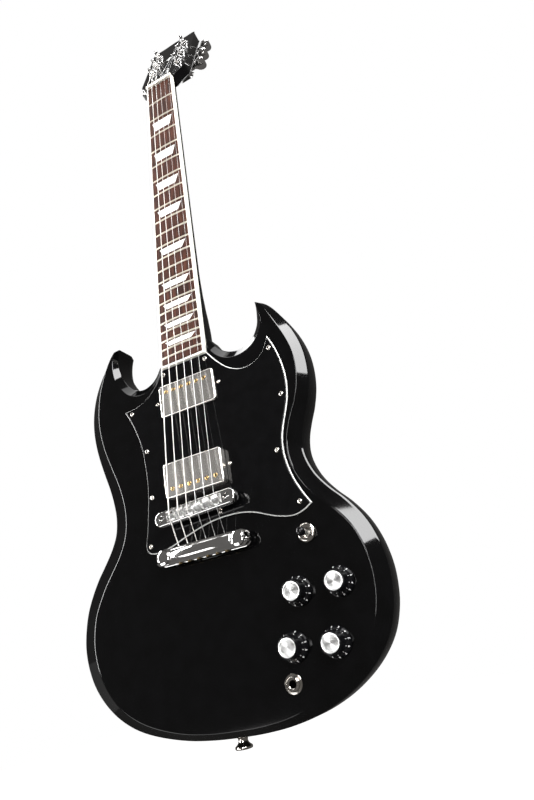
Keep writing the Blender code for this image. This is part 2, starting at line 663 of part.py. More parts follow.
def make_tuners():
    for number, side, frame in tuner_frames():
        back = HEAD_THICKNESS + GAP
        case = rounded_rectangle(8.6, 11.0, 3.0, 2)
        case = [(x + side * 0.6, z + 1.8) for x, z in case]
        housing = make(f"tuner_housing_{number}", prism(frame, case, back, 26.0), CHROME)
        collar = ((4.9, -back - 2), (4.9, GAP), (7.2, GAP), (7.2, 1.2), (5.6, 1.6), (5.6, 3.2))
        operate(housing, "UNION", [turned(frame @ FRONTWARD, collar, 12)])
        bore = turned(at(frame, 0, 18.0, 0) @ FRONTWARD, ((3.5, 0), (3.5, 30)), 10)
        gearbox = turned(at(frame, 0, 24.0, 0) @ FRONTWARD, ((6.1, 0), (6.1, 7.4)), 10)
        sideways = Matrix.Rotation(side * math.pi / 2, 4, "Y")
        worm_way = at(frame, -side * 5.0, WORM_DEPTH, WORM_OFFSET) @ sideways
        worm_bore = turned(worm_way, ((2.8, 0), (2.8, 30)), 8)
        window = box(frame, (-3.2, WORM_DEPTH - 1.6, 2), (3.2, WORM_DEPTH + 1.6, WORM_OFFSET))
        operate(housing, "DIFFERENCE", [bore, gearbox, worm_bore, window])

        post = ((5.4, -22.6), (5.4, -18.0), (3.0, -18.0), (3.0, 5.6), (2.4, 7.2), (3.0, 9.6), (3.0, 12.6))
        spin = frame @ FRONTWARD
        make(f"tuner_post_{number}", turned(spin, post, 12), CHROME, frame @ Vector((0, 0, 0)))

        axle = at(frame, -side * 4.6, WORM_DEPTH, WORM_OFFSET) @ sideways
        # (distance along the worm shaft, half height, half thickness)
        sections = (
            (0.0, 2.3, 2.3), (9.0, 2.3, 2.3), (9.4, 1.9, 1.9), (15.6, 1.9, 1.9), (16.0, 3.4, 3.4),
            (18.4, 3.4, 3.4), (19.6, 2.6, 2.6), (22.0, 3.4, 3.0), (25.6, 7.6, 3.4), (30.6, 9.6, 3.4),
            (36.0, 9.0, 3.0), (39.0, 5.6, 1.8),
        )
        rings = []
        for along, high, thick in sections:
            ring = []
            for k in range(10):
                angle = 2 * math.pi * k / 10
                ring.append(axle @ Vector((thick * math.cos(angle), high * math.sin(angle), along)))
            rings.append(ring)
        make(f"tuner_button_{number}", shell(rings), CHROME, axle @ Vector((0, 0, 0)))


def make_controls():
    """Circuit board with four potentiometers, and a knob with its shaft on each one."""
    board = [(x, -down) for x, down in BOARD_CORNERS]
    obj = make("control_board", prism(BODY, board, 20.4, 22.0), CIRCUIT)
    cans = []
    bores = []
    for name, (x, down) in KNOBS.items():
        base = at(BODY, x, 0, -down) @ FRONTWARD
        can = ((11.6, -21.0), (11.6, -11.0), (4.1, -9.6), (4.1, 2.6))
        cans.append(turned(base, can, 14))
        bores.append(turned(base, ((3.4, -16.0), (3.4, 5.0)), 12))
        knob = (
            (3.0, -15.0), (3.0, 5.6), (7.4, 5.6), (7.4, 0.8), (13.0, 0.8), (13.1, 2.0),
            (11.0, 5.6), (9.9, 6.6), (9.5, 16.0), (8.8, 17.0),
        )
        make(name, turned(base, knob, 16), BLACK_PLASTIC, body_point(x, down, 0))
    operate(obj, "UNION", cans)
    operate(obj, "DIFFERENCE", bores)


def make_cavity_cover():
    top = BODY_THICKNESS - COVER_RECESS + GAP
    plate = prism(BODY, cavity_cover_outline(0.0), top, BODY_THICKNESS)
    make("control_cavity_cover", plate, BLACK_PLASTIC)


def make_toggle():
    base = at(BODY, TOGGLE[0], 0, -TOGGLE[1]) @ FRONTWARD
    case = make("switch_body", box(base, (-8.5, -11.5, -24), (8.5, 11.5, -TOP_WALL - GAP)), NICKEL)
    bush = turned(base, ((6.0, -10), (6.0, 0.4), (8.4, 0.4), (8.4, 2.4), (7.4, 3.0)), 16)
    operate(case, "UNION", [bush])
    lever_way = turned(base, ((5.0, -12.0), (4.4, 4.0)), 14)
    operate(case, "DIFFERENCE", [lever_way, box(base, (-4, -7, -20), (4, 7, -9))])
    lever = ((1.4, -16.0), (1.4, -5.0), (3.0, -3.2), (3.0, -0.6), (1.5, 1.0), (1.5, 8.4), (3.1, 9.0),
             (3.9, 11.0), (4.1, 14.0), (3.6, 17.0), (2.0, 18.8))
    make("toggle_lever", turned(base, lever, 14), BLACK_PLASTIC, body_point(*TOGGLE, 2.0))


def make_jack():
    base = at(BODY, JACK[0], 0, -JACK[1]) @ FRONTWARD
    barrel = (
        (3.3, -26), (3.3, 2.9), (5.6, 2.9), (6.4, 2.4), (8.2, 1.2), (8.2, 0.3), (4.8, 0.3), (4.8, -7.3),
        (8.6, -7.3), (8.6, -26),
    )
    make("output_jack", turned(base, barrel, 18, looped=True), NICKEL)


def make_strap_buttons():
    button = (
        (5.0, 0.0), (7.4, 0.0), (7.9, 0.6), (7.9, 2.4), (5.2, 4.4), (4.2, 7.0), (4.8, 9.0), (5.6, 9.6),
        (STRAP_SCREW, 9.6),
    )
    end_button = button + ((STRAP_SCREW, 29.0),)
    heel_button = button + ((STRAP_SCREW, 19.6),)
    heel_face = at(BODY, 0, BODY_THICKNESS + 9.9, -HEEL_BUTTON_DOWN) @ FRONTWARD
    make("strap_button_end", turned(Matrix.Identity(4), end_button, 12), NICKEL)
    make("strap_button_heel", turned(heel_face, heel_button, 12), NICKEL)


def clear_scene():
    for obj in list(bpy.data.objects):
        bpy.data.objects.remove(obj, do_unlink=True)


clear_scene()
make_body()
make_neck()
make_fretboard()
make_binding()
make_nut()
make_truss_rod()
make_truss_rod_cover()
make_pickguard()
make_pickup("neck_pickup", NECK_PICKUP, NECK_PICKUP_TOP)
make_pickup("bridge_pickup", BRIDGE_PICKUP, BRIDGE_PICKUP_TOP)
make_bridge()
make_saddles()
make_tailpiece()
make_strings()
make_tuners()
make_controls()
make_cavity_cover()
make_toggle()
make_jack()
make_strap_buttons()
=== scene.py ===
import math

import bmesh
import bpy
from mathutils import Matrix, Vector


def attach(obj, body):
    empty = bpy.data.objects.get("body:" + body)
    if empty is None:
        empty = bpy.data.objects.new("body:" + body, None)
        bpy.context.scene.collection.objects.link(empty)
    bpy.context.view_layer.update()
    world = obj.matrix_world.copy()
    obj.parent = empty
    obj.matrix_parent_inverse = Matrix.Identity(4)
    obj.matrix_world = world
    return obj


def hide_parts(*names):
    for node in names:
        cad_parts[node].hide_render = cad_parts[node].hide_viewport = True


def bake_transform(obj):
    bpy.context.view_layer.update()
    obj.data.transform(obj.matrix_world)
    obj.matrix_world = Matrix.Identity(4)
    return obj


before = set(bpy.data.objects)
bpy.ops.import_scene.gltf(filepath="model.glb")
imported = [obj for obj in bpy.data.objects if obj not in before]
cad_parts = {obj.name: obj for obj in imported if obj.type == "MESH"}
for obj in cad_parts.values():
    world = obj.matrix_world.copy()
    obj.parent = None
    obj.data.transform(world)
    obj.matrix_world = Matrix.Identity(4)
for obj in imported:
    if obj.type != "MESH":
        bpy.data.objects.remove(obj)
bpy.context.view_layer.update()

GUITAR = "guitar"

# Driving dimensions in millimetres and degrees
THICKNESS = 35.0
BODY_HEIGHT = 382
NECK_LENGTH = 458
NECK_ANGLE = 4.14
NECK_RISE = 3.94
HEAD_ANGLE = 17.8
HEAD_DROP = 4.3
HEAD_THICKNESS = 14.5
NUT_THICKNESS = 5

# Local frames take millimetres and give metres: x to the treble side, y backwards, z to the headstock.
# "down" runs from the body frame's origin to the tail, and s from the nut along the fretboard.
FRONTWARD = Matrix.Rotation(math.radians(90), 4, "X")
BACKWARD = Matrix.Rotation(math.radians(-90), 4, "X")
WORLD = Matrix.Scale(0.001, 4)
BODY = WORLD @ Matrix.Translation((0, -THICKNESS / 2, BODY_HEIGHT))
NECK = BODY @ Matrix.Translation((0, -NECK_RISE, 0)) @ Matrix.Rotation(math.radians(-NECK_ANGLE), 4, "X")
NECK = NECK @ Matrix.Translation((0, 0, NECK_LENGTH))
HEAD = NECK @ Matrix.Translation((0, HEAD_DROP, NUT_THICKNESS))
HEAD = HEAD @ Matrix.Rotation(math.radians(-HEAD_ANGLE), 4, "X")

# Neck and strings, from the bass side to the treble side
SCALE_LENGTH = 628.65
BOARD_END = 463.3
BOARD_THICKNESS = 6.2
BINDING = 2.3
INLAY_FRETS = (3, 5, 7, 9, 12, 15, 17, 19, 21)
INLAY_WIDE = 0.78
INLAY_NARROW = 0.56
INLAY_REACH = 0.26
STRING_RADII = (0.58, 0.46, 0.33, 0.22, 0.17, 0.13)
NUT_SPREAD = 35.6
SADDLE_SPREAD = 51.6
STRING_AT_NUT = -2.1
STRING_AT_SADDLE = -4.6
SETBACKS = (2.6, 1.6, 0.6, 1.8, 0.9, 0.1)
TUNER_X = (22.3, 23.0, 23.7)
FIRST_TUNER = 57.5
TUNER_PITCH = 39.2
WINDINGS = 3
WINDING_STEPS = 20

# Hardware on the body: (x, down), with a pickup's height above the face and a knob's turn in degrees
NECK_PICKUP = (0.5, 45.0, 5.2)
BRIDGE_PICKUP = (-0.5, 134.5, 11.0)
COVER_HALF_LENGTH = 34.6
COVER_HALF_WIDTH = 18.4
POLE_OFFSET = 9.6
PICKUP_SCREW_X = 38.7
GUARD_TOP = 2.3
BRIDGE_DOWN = 171
BRIDGE_SLANT = 2.8
BRIDGE_POST_X = 37.0
TAILPIECE_DOWN = 209.5
STUD_X = 41.5
STRING_HOLE_HEIGHT = 10.2
KNOBS = {
    "neck_volume_knob": (85.0, 265.0, 40), "bridge_volume_knob": (124.5, 264.5, 12),
    "neck_tone_knob": (72.5, 308.5, -20), "bridge_tone_knob": (111.0, 311.0, 65),
}
TOGGLE = (103.0, 218.0)
JACK = (65.5, 337.0)
CAVITY_SCREWS = ((103, 198.5), (146.5, 255), (133, 320), (67, 353), (48.5, 338), (64, 255))
COVER_RECESS = 2.4

# Body outline, clockwise from the bass side of the neck: (x, down, bevel width)
BODY_KNOTS = (
    (-29, -14, 3), (-36, -3, 7), (-42, 6, 9), (-50, 12.5, 10), (-61, 15.5, 9.5), (-72, 12, 9),
    (-81, 3, 8.5), (-88, -9, 7.5), (-91.5, -22, 5.5), (-92, -35, 3), (-89.5, -47, 1.5),
    (-101, -38, 3.5), (-115, -23, 8), (-126, -4, 11), (-132.5, 16, 13), (-135, 36, 14),
    (-134, 56, 14.5), (-130, 77, 15), (-124, 98, 16), (-118, 117, 17), (-114, 134, 18),
    (-112, 151, 18.5), (-114, 168, 19), (-121, 183, 19), (-131, 197, 18.5), (-141, 210, 18.5),
    (-150, 225, 18.5), (-157, 241, 18), (-161, 259, 18), (-162, 276, 18), (-159, 294, 17.5),
    (-152, 312, 16.5), (-140, 329, 14.5), (-124, 343.5, 12), (-104, 355, 10), (-80, 363, 8),
    (-50, 369, 6.5), (-22, 371.5, 6), (4, 372, 6), (28, 371.5, 6), (54, 369, 6.5),
    (80, 363.5, 8), (104, 354.5, 9.5), (125, 342.5, 11), (142, 328.5, 12), (155, 312, 12.5),
    (163, 293, 13), (166.5, 275, 13), (167, 256, 13), (163.5, 235, 13), (156, 215, 13),
    (144, 196.5, 13.5), (131, 181.5, 14), (121, 167, 14.5), (115, 152, 14.5), (113, 138, 14),
    (115, 124, 13), (120, 110, 12), (127, 94, 11), (132.5, 75, 10.5), (134.5, 55, 10),
    (133, 35, 10), (127.5, 15, 10), (119, -4, 9), (109.5, -20, 6), (101.5, -28.5, 3),
    (92.5, -33, 1.5), (91.5, -20, 5), (89.5, -8, 8), (84, 2.5, 9), (76, 9.5, 9.5),
    (66, 12.5, 10), (56, 11.5, 10), (47, 7.5, 9), (38, -1, 7), (30, -14, 3),
)
GUARD_KNOTS = (
    (-30, 6), (-33.5, 13), (-40, 22), (-49, 30), (-59, 35.5), (-70, 38.5), (-83, 39.5),
    (-77, 51), (-70, 69), (-65, 87), (-63, 106), (-62, 125), (-63, 143), (-65, 160),
    (-68, 179), (-70.5, 191), (-68, 198), (-60, 201), (-49, 200.5), (-38, 198), (-26, 194),
    (-13, 190), (0, 186.7), (13, 184.5), (26, 183.8), (39, 184.3), (51, 186.5), (61, 190),
    (71, 194.5), (81, 198), (90, 200), (98, 200), (106, 197.5), (114, 193),
    (108, 182), (102, 168), (98, 153), (96.5, 138), (98, 124), (102, 111), (107, 98),
    (111, 85), (113, 70), (112.5, 55), (110, 40), (106, 26), (101, 14),
    (98.5, 20.5), (94, 28), (87, 34.5), (79, 38), (70, 39), (61, 37), (51, 31), (42, 22),
    (35, 13), (30, 6),
)
BODY_CORNERS = (0, 10, 66, 75)
GUARD_CORNERS = (0, 6, 33, 46, 56)
GUARD_SCREWS = (
    (-27, 13), (27, 13), (-73, 45), (101, 29), (105, 82), (-58, 93), (-57, 144), (90, 136),
    (-64, 193), (103, 189.5), (20, 177.5),
)
CAVITY_KNOTS = (
    (103, 201), (122, 206), (130, 232), (143, 252), (142, 280), (131, 318), (112, 330),
    (84, 346), (66, 350), (51, 340), (53, 312), (66, 268), (74, 238), (84, 206),
)
HEAD_HALF_OUTLINE = (
    (20.5, 1), (22.0, 4), (25, 9.5), (30.5, 17), (36, 25), (38.2, 36), (38.4, 70), (38.9, 120),
    (39.4, 160), (38.6, 169), (34.5, 174), (24, 173.4), (12, 174.8),
)


# ---------------------------------------------------------------- geometry

def at(base, x, y, z):
    return base @ Matrix.Translation((x, y, z))


def lerp(a, b, t):
    return a + (b - a) * t


def shell(rings, looped=False):
    """Closed skin over rings of points: capped at both ends, or looped back to the first ring."""
    bm = bmesh.new()
    rows = [[bm.verts.new(point) for point in ring] for ring in rings]
    count = len(rings[0])
    pairs = list(zip(rows, rows[1:]))
    if looped:
        pairs.append((rows[-1], rows[0]))
    for number, (lower, upper) in enumerate(pairs):
        for i in range(count):
            j = (i + 1) % count
            face = bm.faces.new((lower[i], lower[j], upper[j], upper[i]))
            face.material_index = number
    if not looped:
        bm.faces.new(list(reversed(rows[0])))
        bm.faces.new(rows[-1]).material_index = len(pairs)
    bmesh.ops.recalc_face_normals(bm, faces=bm.faces)
    return bm


def prism(base, outline, low, high, rounding=0.0):
    """Outline of (x, z) points extruded along y, with rounded edges front and back."""
    levels = [(low, 0.0), (high, 0.0)]
    if rounding:
        # A quarter circle in three steps of about 30 degrees
        front = []
        for angle in (math.pi / 2, 1.05, 0.52, 0.0):
            front.append((low + rounding * (1 - math.sin(angle)), rounding * (1 - math.cos(angle))))
        levels = front + [(high + low - y, inward) for y, inward in reversed(front)]
    edge = [(x, -z) for x, z in outline]
    rings = []
    for y, inward in levels:
        points = inset(edge, [inward] * len(edge)) if inward else edge
        rings.append([base @ Vector((x, y, -down)) for x, down in points])
    return shell(rings)


def box(base, low, high):
    corners = ((low[0], low[2]), (high[0], low[2]), (high[0], high[2]), (low[0], high[2]))
    return prism(base, corners, low[1], high[1])


def turned(base, profile, segments=48, looped=False):
    """Profile of (radius, height) turned about the frame's z axis."""
    rings = []
    for radius, height in profile:
        ring = []
        for k in range(segments):
            angle = 2 * math.pi * k / segments
            ring.append(base @ Vector((radius * math.cos(angle), radius * math.sin(angle), height)))
        rings.append(ring)
    return shell(rings, looped)


def rounded_rectangle(half_x, half_z, radius, steps=8):
    points = []
    for quarter in range(4):
        centre_x = (half_x - radius) * (1 if quarter in (0, 3) else -1)
        centre_z = (half_z - radius) * (1 if quarter in (0, 1) else -1)
        for k in range(steps + 1):
            angle = math.pi / 2 * (quarter + k / steps)
            points.append((centre_x + radius * math.cos(angle), centre_z + radius * math.sin(angle)))
    return points


def tube(points, radius, sides=12):
    rings = []
    side = Vector((1, 0, 0))
    for i, point in enumerate(points):
        before = points[max(i - 1, 0)]
        after = points[min(i + 1, len(points) - 1)]
        along = (after - before).normalized()
        side = (side - along * side.dot(along)).normalized()
        other = along.cross(side)
        ring = []
        for k in range(sides):
            angle = 2 * math.pi * k / sides
            ring.append(point + radius * (math.cos(angle) * side + math.sin(angle) * other))
        rings.append(ring)
    return shell(rings)


def spline(knots, corners, samples):
    """Closed Catmull-Rom curve through the knots, broken at the corners."""
    total = len(knots)
    points = []
    for i in range(total):
        start = Vector(knots[i])
        end = Vector(knots[(i + 1) % total])
        before = 2 * start - end if i in corners else Vector(knots[i - 1])
        after = 2 * end - start if (i + 1) % total in corners else Vector(knots[(i + 2) % total])
        for k in range(samples):
            t = k / samples
            point = start * 2 + (end - before) * t
            point += (before * 2 - start * 5 + end * 4 - after) * t**2
            point += (start * 3 - before - end * 3 + after) * t**3
            points.append(point / 2)
    return points


def inset(outline, widths):
    """Outline of (x, down) points moved inwards by a width at each point; corners are mitred."""
    moved = []
    total = len(outline)
    for i in range(total):
        here = Vector(outline[i][:2])
        back = (here - Vector(outline[i - 1][:2])).normalized()
        ahead = (Vector(outline[(i + 1) % total][:2]) - here).normalized()
        along = (back + ahead).normalized()
        mitre = min(1 / max(along.dot(ahead), 0.2), 1.8)
        inward = Vector((along.y, -along.x))
        moved.append(here + inward * widths[i] * mitre)
    return untangle([(point.x, point.y) for point in moved])


def untangle(points, reach=14):
    """Where an inset outline crosses itself at a sharp tip, its small loop is drawn in to the crossing."""
    total = len(points)
    for i in range(total):
        a, b = Vector(points[i]), Vector(points[(i + 1) % total])
        for step in range(reach, 1, -1):
            j = (i + step) % total
            c, d = Vector(points[j]), Vector(points[(j + 1) % total])
            ab, cd = b - a, d - c
            cross = ab.x * cd.y - ab.y * cd.x
            if abs(cross) < 1e-12:
                continue
            t = ((c.x - a.x) * cd.y - (c.y - a.y) * cd.x) / cross
            u = ((c.x - a.x) * ab.y - (c.y - a.y) * ab.x) / cross
            if not (0 < t < 1 and 0 < u < 1):
                continue
            meet = a + ab * t
            for k in range(step):
                share = (k + 1) / (step + 1)
                near = a.lerp(meet, 0.98 + 0.02 * share) if share < 0.5 else meet.lerp(d, 0.02 * share)
                points[(i + 1 + k) % total] = (near.x, near.y)
            break
    return points


def join(parts):
    """One bmesh from several."""
    whole = bmesh.new()
    for part in parts:
        mesh = bpy.data.meshes.new("joined")
        part.to_mesh(mesh)
        part.free()
        whole.from_mesh(mesh)
        bpy.data.meshes.remove(mesh)
    return whole


def second_look(bm, bands):
    """Gives the listed bands of a shell the piece's second finish, and the others its first."""
    for face in bm.faces:
        face.material_index = 1 if face.material_index in bands else 0


def piece(name, bm, look, body=GUITAR, nodes=(), sharp=32, cutters=(), subdivide=0, keep=False,
          stretch=None):
    """A finished piece: built, cut, shaded, painted, and riding on its body, or fixed where it is built when
    stretch is given.

    sharp is the angle in degrees above which an edge stays sharp, keep leaves each face the finish it
    has, and stretch, when given, leaves the piece fixed where it is built instead of riding on its body.
    """
    looks = look if isinstance(look, (list, tuple)) else (look,)
    if not keep:
        for face in bm.faces:
            face.material_index = 0
    mesh = bpy.data.meshes.new(name)
    bm.to_mesh(mesh)
    bm.free()
    obj = bpy.data.objects.new(name, mesh)
    bpy.context.scene.collection.objects.link(obj)
    for finish in looks:
        mesh.materials.append(finish)
    tools = []
    for number, cutter in enumerate(cutters):
        tool_mesh = bpy.data.meshes.new(f"{name}_cutter")
        cutter.to_mesh(tool_mesh)
        cutter.free()
        tool = bpy.data.objects.new(f"{name}_cutter_{number}", tool_mesh)
        bpy.context.scene.collection.objects.link(tool)
        tools.append(tool)
        modifier = obj.modifiers.new(f"cut_{number}", "BOOLEAN")
        modifier.operation = "DIFFERENCE"
        modifier.solver = "EXACT"
        modifier.object = tool
    if subdivide:
        modifier = obj.modifiers.new("subdivide", "SUBSURF")
        modifier.levels = modifier.render_levels = subdivide
    if obj.modifiers:
        bpy.context.view_layer.update()
        evaluated = obj.evaluated_get(bpy.context.evaluated_depsgraph_get())
        result = bpy.data.meshes.new_from_object(evaluated)
        obj.modifiers.clear()
        obj.data = result
        bpy.data.meshes.remove(mesh)
    for tool in tools:
        tool_mesh = tool.data
        bpy.data.objects.remove(tool)
        bpy.data.meshes.remove(tool_mesh)
    obj.data.shade_smooth()
    obj.data.set_sharp_from_angle(angle=math.radians(sharp))
    if stretch:
        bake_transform(obj)
    else:
        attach(obj, body)
    if nodes:
        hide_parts(*nodes)
    return obj


# ---------------------------------------------------------------- materials

def finish(name, colour, roughness, metallic=0.0, other=None, scale=300.0, stretch=(1, 1, 1), spread=0.15,
           bump=0.03, grain=2500.0, coat=0.0, specular=0.5, anisotropic=0.0, wave=None, uneven=0.25):
    """Surface with mottled colour, uneven gloss and fine relief; scales are per metre."""
    material = bpy.data.materials.new(name)
    material.use_nodes = True
    nodes = material.node_tree.nodes
    links = material.node_tree.links
    shader = nodes["Principled BSDF"]
    place = nodes.new("ShaderNodeTexCoord")
    mapping = nodes.new("ShaderNodeMapping")
    mapping.inputs["Scale"].default_value = stretch
    links.new(place.outputs["Object"], mapping.inputs["Vector"])

    mottle = nodes.new("ShaderNodeTexNoise")
    mottle.inputs["Scale"].default_value = scale
    mottle.inputs["Detail"].default_value = 6
    links.new(mapping.outputs["Vector"], mottle.inputs["Vector"])
    ramp = nodes.new("ShaderNodeValToRGB")
    second = other or tuple(channel * (1 - spread) for channel in colour)
    ramp.color_ramp.elements[0].position = 0.35
    ramp.color_ramp.elements[0].color = (*second, 1)
    ramp.color_ramp.elements[1].position = 0.65
    ramp.color_ramp.elements[1].color = (*colour, 1)
    links.new(mottle.outputs["Fac"], ramp.inputs["Fac"])
    links.new(ramp.outputs["Color"], shader.inputs["Base Color"])

    wear = nodes.new("ShaderNodeTexNoise")
    wear.inputs["Scale"].default_value = scale * 0.35
    wear.inputs["Detail"].default_value = 4
    links.new(mapping.outputs["Vector"], wear.inputs["Vector"])
    gloss = nodes.new("ShaderNodeMapRange")
    gloss.inputs["To Min"].default_value = roughness * (1 - uneven)
    gloss.inputs["To Max"].default_value = roughness * (1 + uneven)
    links.new(wear.outputs["Fac"], gloss.inputs["Value"])
    links.new(gloss.outputs["Result"], shader.inputs["Roughness"])

    if wave:
        relief = nodes.new("ShaderNodeTexWave")
        relief.bands_direction = "Z"
        relief.inputs["Scale"].default_value = wave
        links.new(place.outputs["Object"], relief.inputs["Vector"])
    else:
        relief = nodes.new("ShaderNodeTexNoise")
        relief.inputs["Scale"].default_value = grain
        relief.inputs["Detail"].default_value = 3
        links.new(mapping.outputs["Vector"], relief.inputs["Vector"])
    bumps = nodes.new("ShaderNodeBump")
    bumps.inputs["Strength"].default_value = bump
    bumps.inputs["Distance"].default_value = 0.0002
    links.new(relief.outputs["Fac"], bumps.inputs["Height"])
    links.new(bumps.outputs["Normal"], shader.inputs["Normal"])

    shader.inputs["Metallic"].default_value = metallic
    shader.inputs["Coat Weight"].default_value = coat
    shader.inputs["Coat Roughness"].default_value = 0.04
    shader.inputs["Specular IOR Level"].default_value = specular
    if anisotropic:
        shader.inputs["Anisotropic"].default_value = anisotropic
        tangent = nodes.new("ShaderNodeTangent")
        tangent.direction_type = "RADIAL"
        tangent.axis = "Y"
        links.new(tangent.outputs["Tangent"], shader.inputs["Tangent"])
    return material


LACQUER = finish("lacquer", (0.0016, 0.0016, 0.0018), 0.06, other=(0.0010, 0.0010, 0.0011), scale=60,
                 bump=0.003, grain=900, specular=0.36)
ROSEWOOD = finish("rosewood", (0.088, 0.030, 0.017), 0.5, other=(0.012, 0.0045, 0.0035), scale=420,
                  stretch=(1.8, 1, 0.05), bump=0.2, grain=1400, specular=0.22)
PEARL = finish("pearl", (0.92, 0.93, 0.90), 0.16, other=(0.70, 0.74, 0.72), scale=260, stretch=(1, 1, 0.4),
               coat=0.6)
CREAM = finish("binding_cream", (0.86, 0.85, 0.80), 0.28, other=(0.80, 0.78, 0.71), scale=120, bump=0.02)
BONE = finish("bone", (0.84, 0.81, 0.73), 0.32, other=(0.74, 0.70, 0.60), scale=500, stretch=(1, 1, 3),
              bump=0.06)
FRET_WIRE = finish("fret_wire", (0.90, 0.84, 0.72), 0.42, 1.0, scale=900, stretch=(0.2, 1, 1), bump=0.05)
CHROME = finish("chrome", (0.88, 0.87, 0.86), 0.08, 1.0, scale=90, spread=0.05, bump=0.006)
NICKEL = finish("nickel", (0.74, 0.70, 0.65), 0.12, 1.0, scale=120, spread=0.10, bump=0.012)
COVER_METAL = finish("pickup_nickel", (0.86, 0.83, 0.79), 0.25, 1.0, scale=80, spread=0.03, bump=0.002,
                     uneven=0.05)
BRASS = finish("aged_brass", (0.62, 0.47, 0.24), 0.25, 1.0, other=(0.40, 0.29, 0.14), scale=900, bump=0.05)
STEEL = finish("bright_steel", (0.90, 0.90, 0.89), 0.3, 1.0, scale=800, bump=0.03)
WOUND = finish("wound_string", (0.88, 0.86, 0.83), 0.42, 1.0, other=(0.74, 0.72, 0.68), scale=200, bump=0.35,
               wave=1050)
PLAIN = finish("plain_string", (0.90, 0.90, 0.90), 0.36, 1.0, scale=300, bump=0.02)
BLACK_PLY = finish("black_ply", (0.0022, 0.0022, 0.0025), 0.09, other=(0.0014, 0.0014, 0.0016), scale=90,
                   bump=0.005, specular=0.36)
WHITE_PLY = finish("white_ply", (0.86, 0.86, 0.84), 0.3, scale=400, spread=0.05)
BLACK_PLASTIC = finish("knob_black", (0.004, 0.004, 0.0045), 0.14, other=(0.0025, 0.0025, 0.003), scale=300,
                       bump=0.02, specular=0.4)
MATT_BLACK = finish("coil_black", (0.012, 0.012, 0.012), 0.5, scale=500, bump=0.15)
BRUSHED = finish("brushed_insert", (0.95, 0.95, 0.94), 0.38, 1.0, scale=500, spread=0.08, bump=0.02,
                 anisotropic=0.9)
PRINT = finish("white_print", (0.85, 0.85, 0.85), 0.4, scale=1500, spread=0.06)
CIRCUIT = finish("circuit", (0.02, 0.12, 0.05), 0.4, other=(0.015, 0.08, 0.035), scale=300, bump=0.1)


# ---------------------------------------------------------------- body and guard

def ring_at(outline, widths, share, depth):
    points = inset(outline, [width * share for width in widths])
    return [BODY @ Vector((x, depth, -down)) for x, down in points]


def cavity_outline(clearance, samples=6):
    points = [(x, down) for x, down, _ in spline([(*knot, 0) for knot in CAVITY_KNOTS], (), samples)]
    grown = inset(points, [clearance] * len(points)) if clearance else points
    return [(x, -down) for x, down in grown]


def hole(x, down, radius, deep, low=-1):
    return turned(at(BODY, x, low, -down) @ BACKWARD, ((radius, 0), (radius, deep)), 24)


def bridge_point(along):
    """Place on the body of a point along the slanted bridge."""
    slant = math.radians(BRIDGE_SLANT)
    return along * math.cos(slant), BRIDGE_DOWN - along * math.sin(slant)


def make_body():
    outline = spline(BODY_KNOTS, BODY_CORNERS, 6)
    widths = [point[2] for point in outline]
    edge = [(point[0], point[1]) for point in outline]
    # (share of the bevel's width, depth)
    levels = (
        (1.07, 0.0), (1.0, 0.03), (0.95, 0.22), (0.89, 0.66), (0.82, 1.26), (0.14, 6.02), (0.07, 6.55),
        (0.02, 7.1), (0.0, 7.8), (0.0, 26.9), (0.02, 27.9), (0.07, 28.8), (0.14, 29.6),
        (0.50, 34.0), (0.56, 34.6), (0.62, 34.93), (0.68, 35.0), (0.78, 35.0),
    )
    rings = [ring_at(edge, widths, share, depth) for share, depth in levels]
    cutters = [
        prism(BODY, cavity_outline(0), 7, THICKNESS + 1),
        prism(BODY, cavity_outline(4.9), THICKNESS - COVER_RECESS, THICKNESS + 1),
        box(BODY, (-19.3, -2, -26), (19.3, 20.5, 22)),
        box(NECK, (-30, -20, -BOARD_END - 0.3), (30, 6.5, -420)),
        hole(*JACK, 5.2, 12), hole(*TOGGLE, 6.4, 12),
    ]
    for x, down, _ in (NECK_PICKUP, BRIDGE_PICKUP):
        cutters.append(prism(at(BODY, x, 0, -down), rounded_rectangle(46, 21, 4), -1, 25))
    for x, down, _ in KNOBS.values():
        cutters.append(hole(x, down, 4.6, 12))
    for side in (-1, 1):
        cutters.append(hole(*bridge_point(side * BRIDGE_POST_X), 3.2, 20))
        cutters.append(hole(side * STUD_X, TAILPIECE_DOWN, 4.8, 22))
    piece("body_lacquered", shell(rings), LACQUER, nodes=["body"], cutters=cutters,
          sharp=28)


def make_guard():
    knots = [(*knot, 0) for knot in GUARD_KNOTS]
    outline = [(x, down) for x, down, _ in spline(knots, GUARD_CORNERS, 5)]
    levels = (
        (0.0, -0.3), (0.0, -0.7), (0.85, -1.75), (1.15, -2.15), (1.35, -GUARD_TOP), (1.9, -GUARD_TOP),
    )
    rings = []
    for width, depth in levels:
        points = inset(outline, [width] * len(outline))
        rings.append([BODY @ Vector((x, depth, -down)) for x, down in points])
    bm = shell(rings)
    second_look(bm, (1,))
    window = rounded_rectangle(COVER_HALF_LENGTH + 0.5, COVER_HALF_WIDTH + 0.5, 3)
    cutters = [prism(at(BODY, x, 0, -down), window, -5, 1) for x, down, _ in (NECK_PICKUP, BRIDGE_PICKUP)]
    for side in (-1, 1):
        x, down = bridge_point(side * BRIDGE_POST_X)
        cutters.append(hole(x, down, 3.8, 6, -5))
    piece("pickguard_laminate", bm, [BLACK_PLY, WHITE_PLY], nodes=["pickguard"],
          cutters=cutters, keep=True, sharp=50)


# ---------------------------------------------------------------- screws

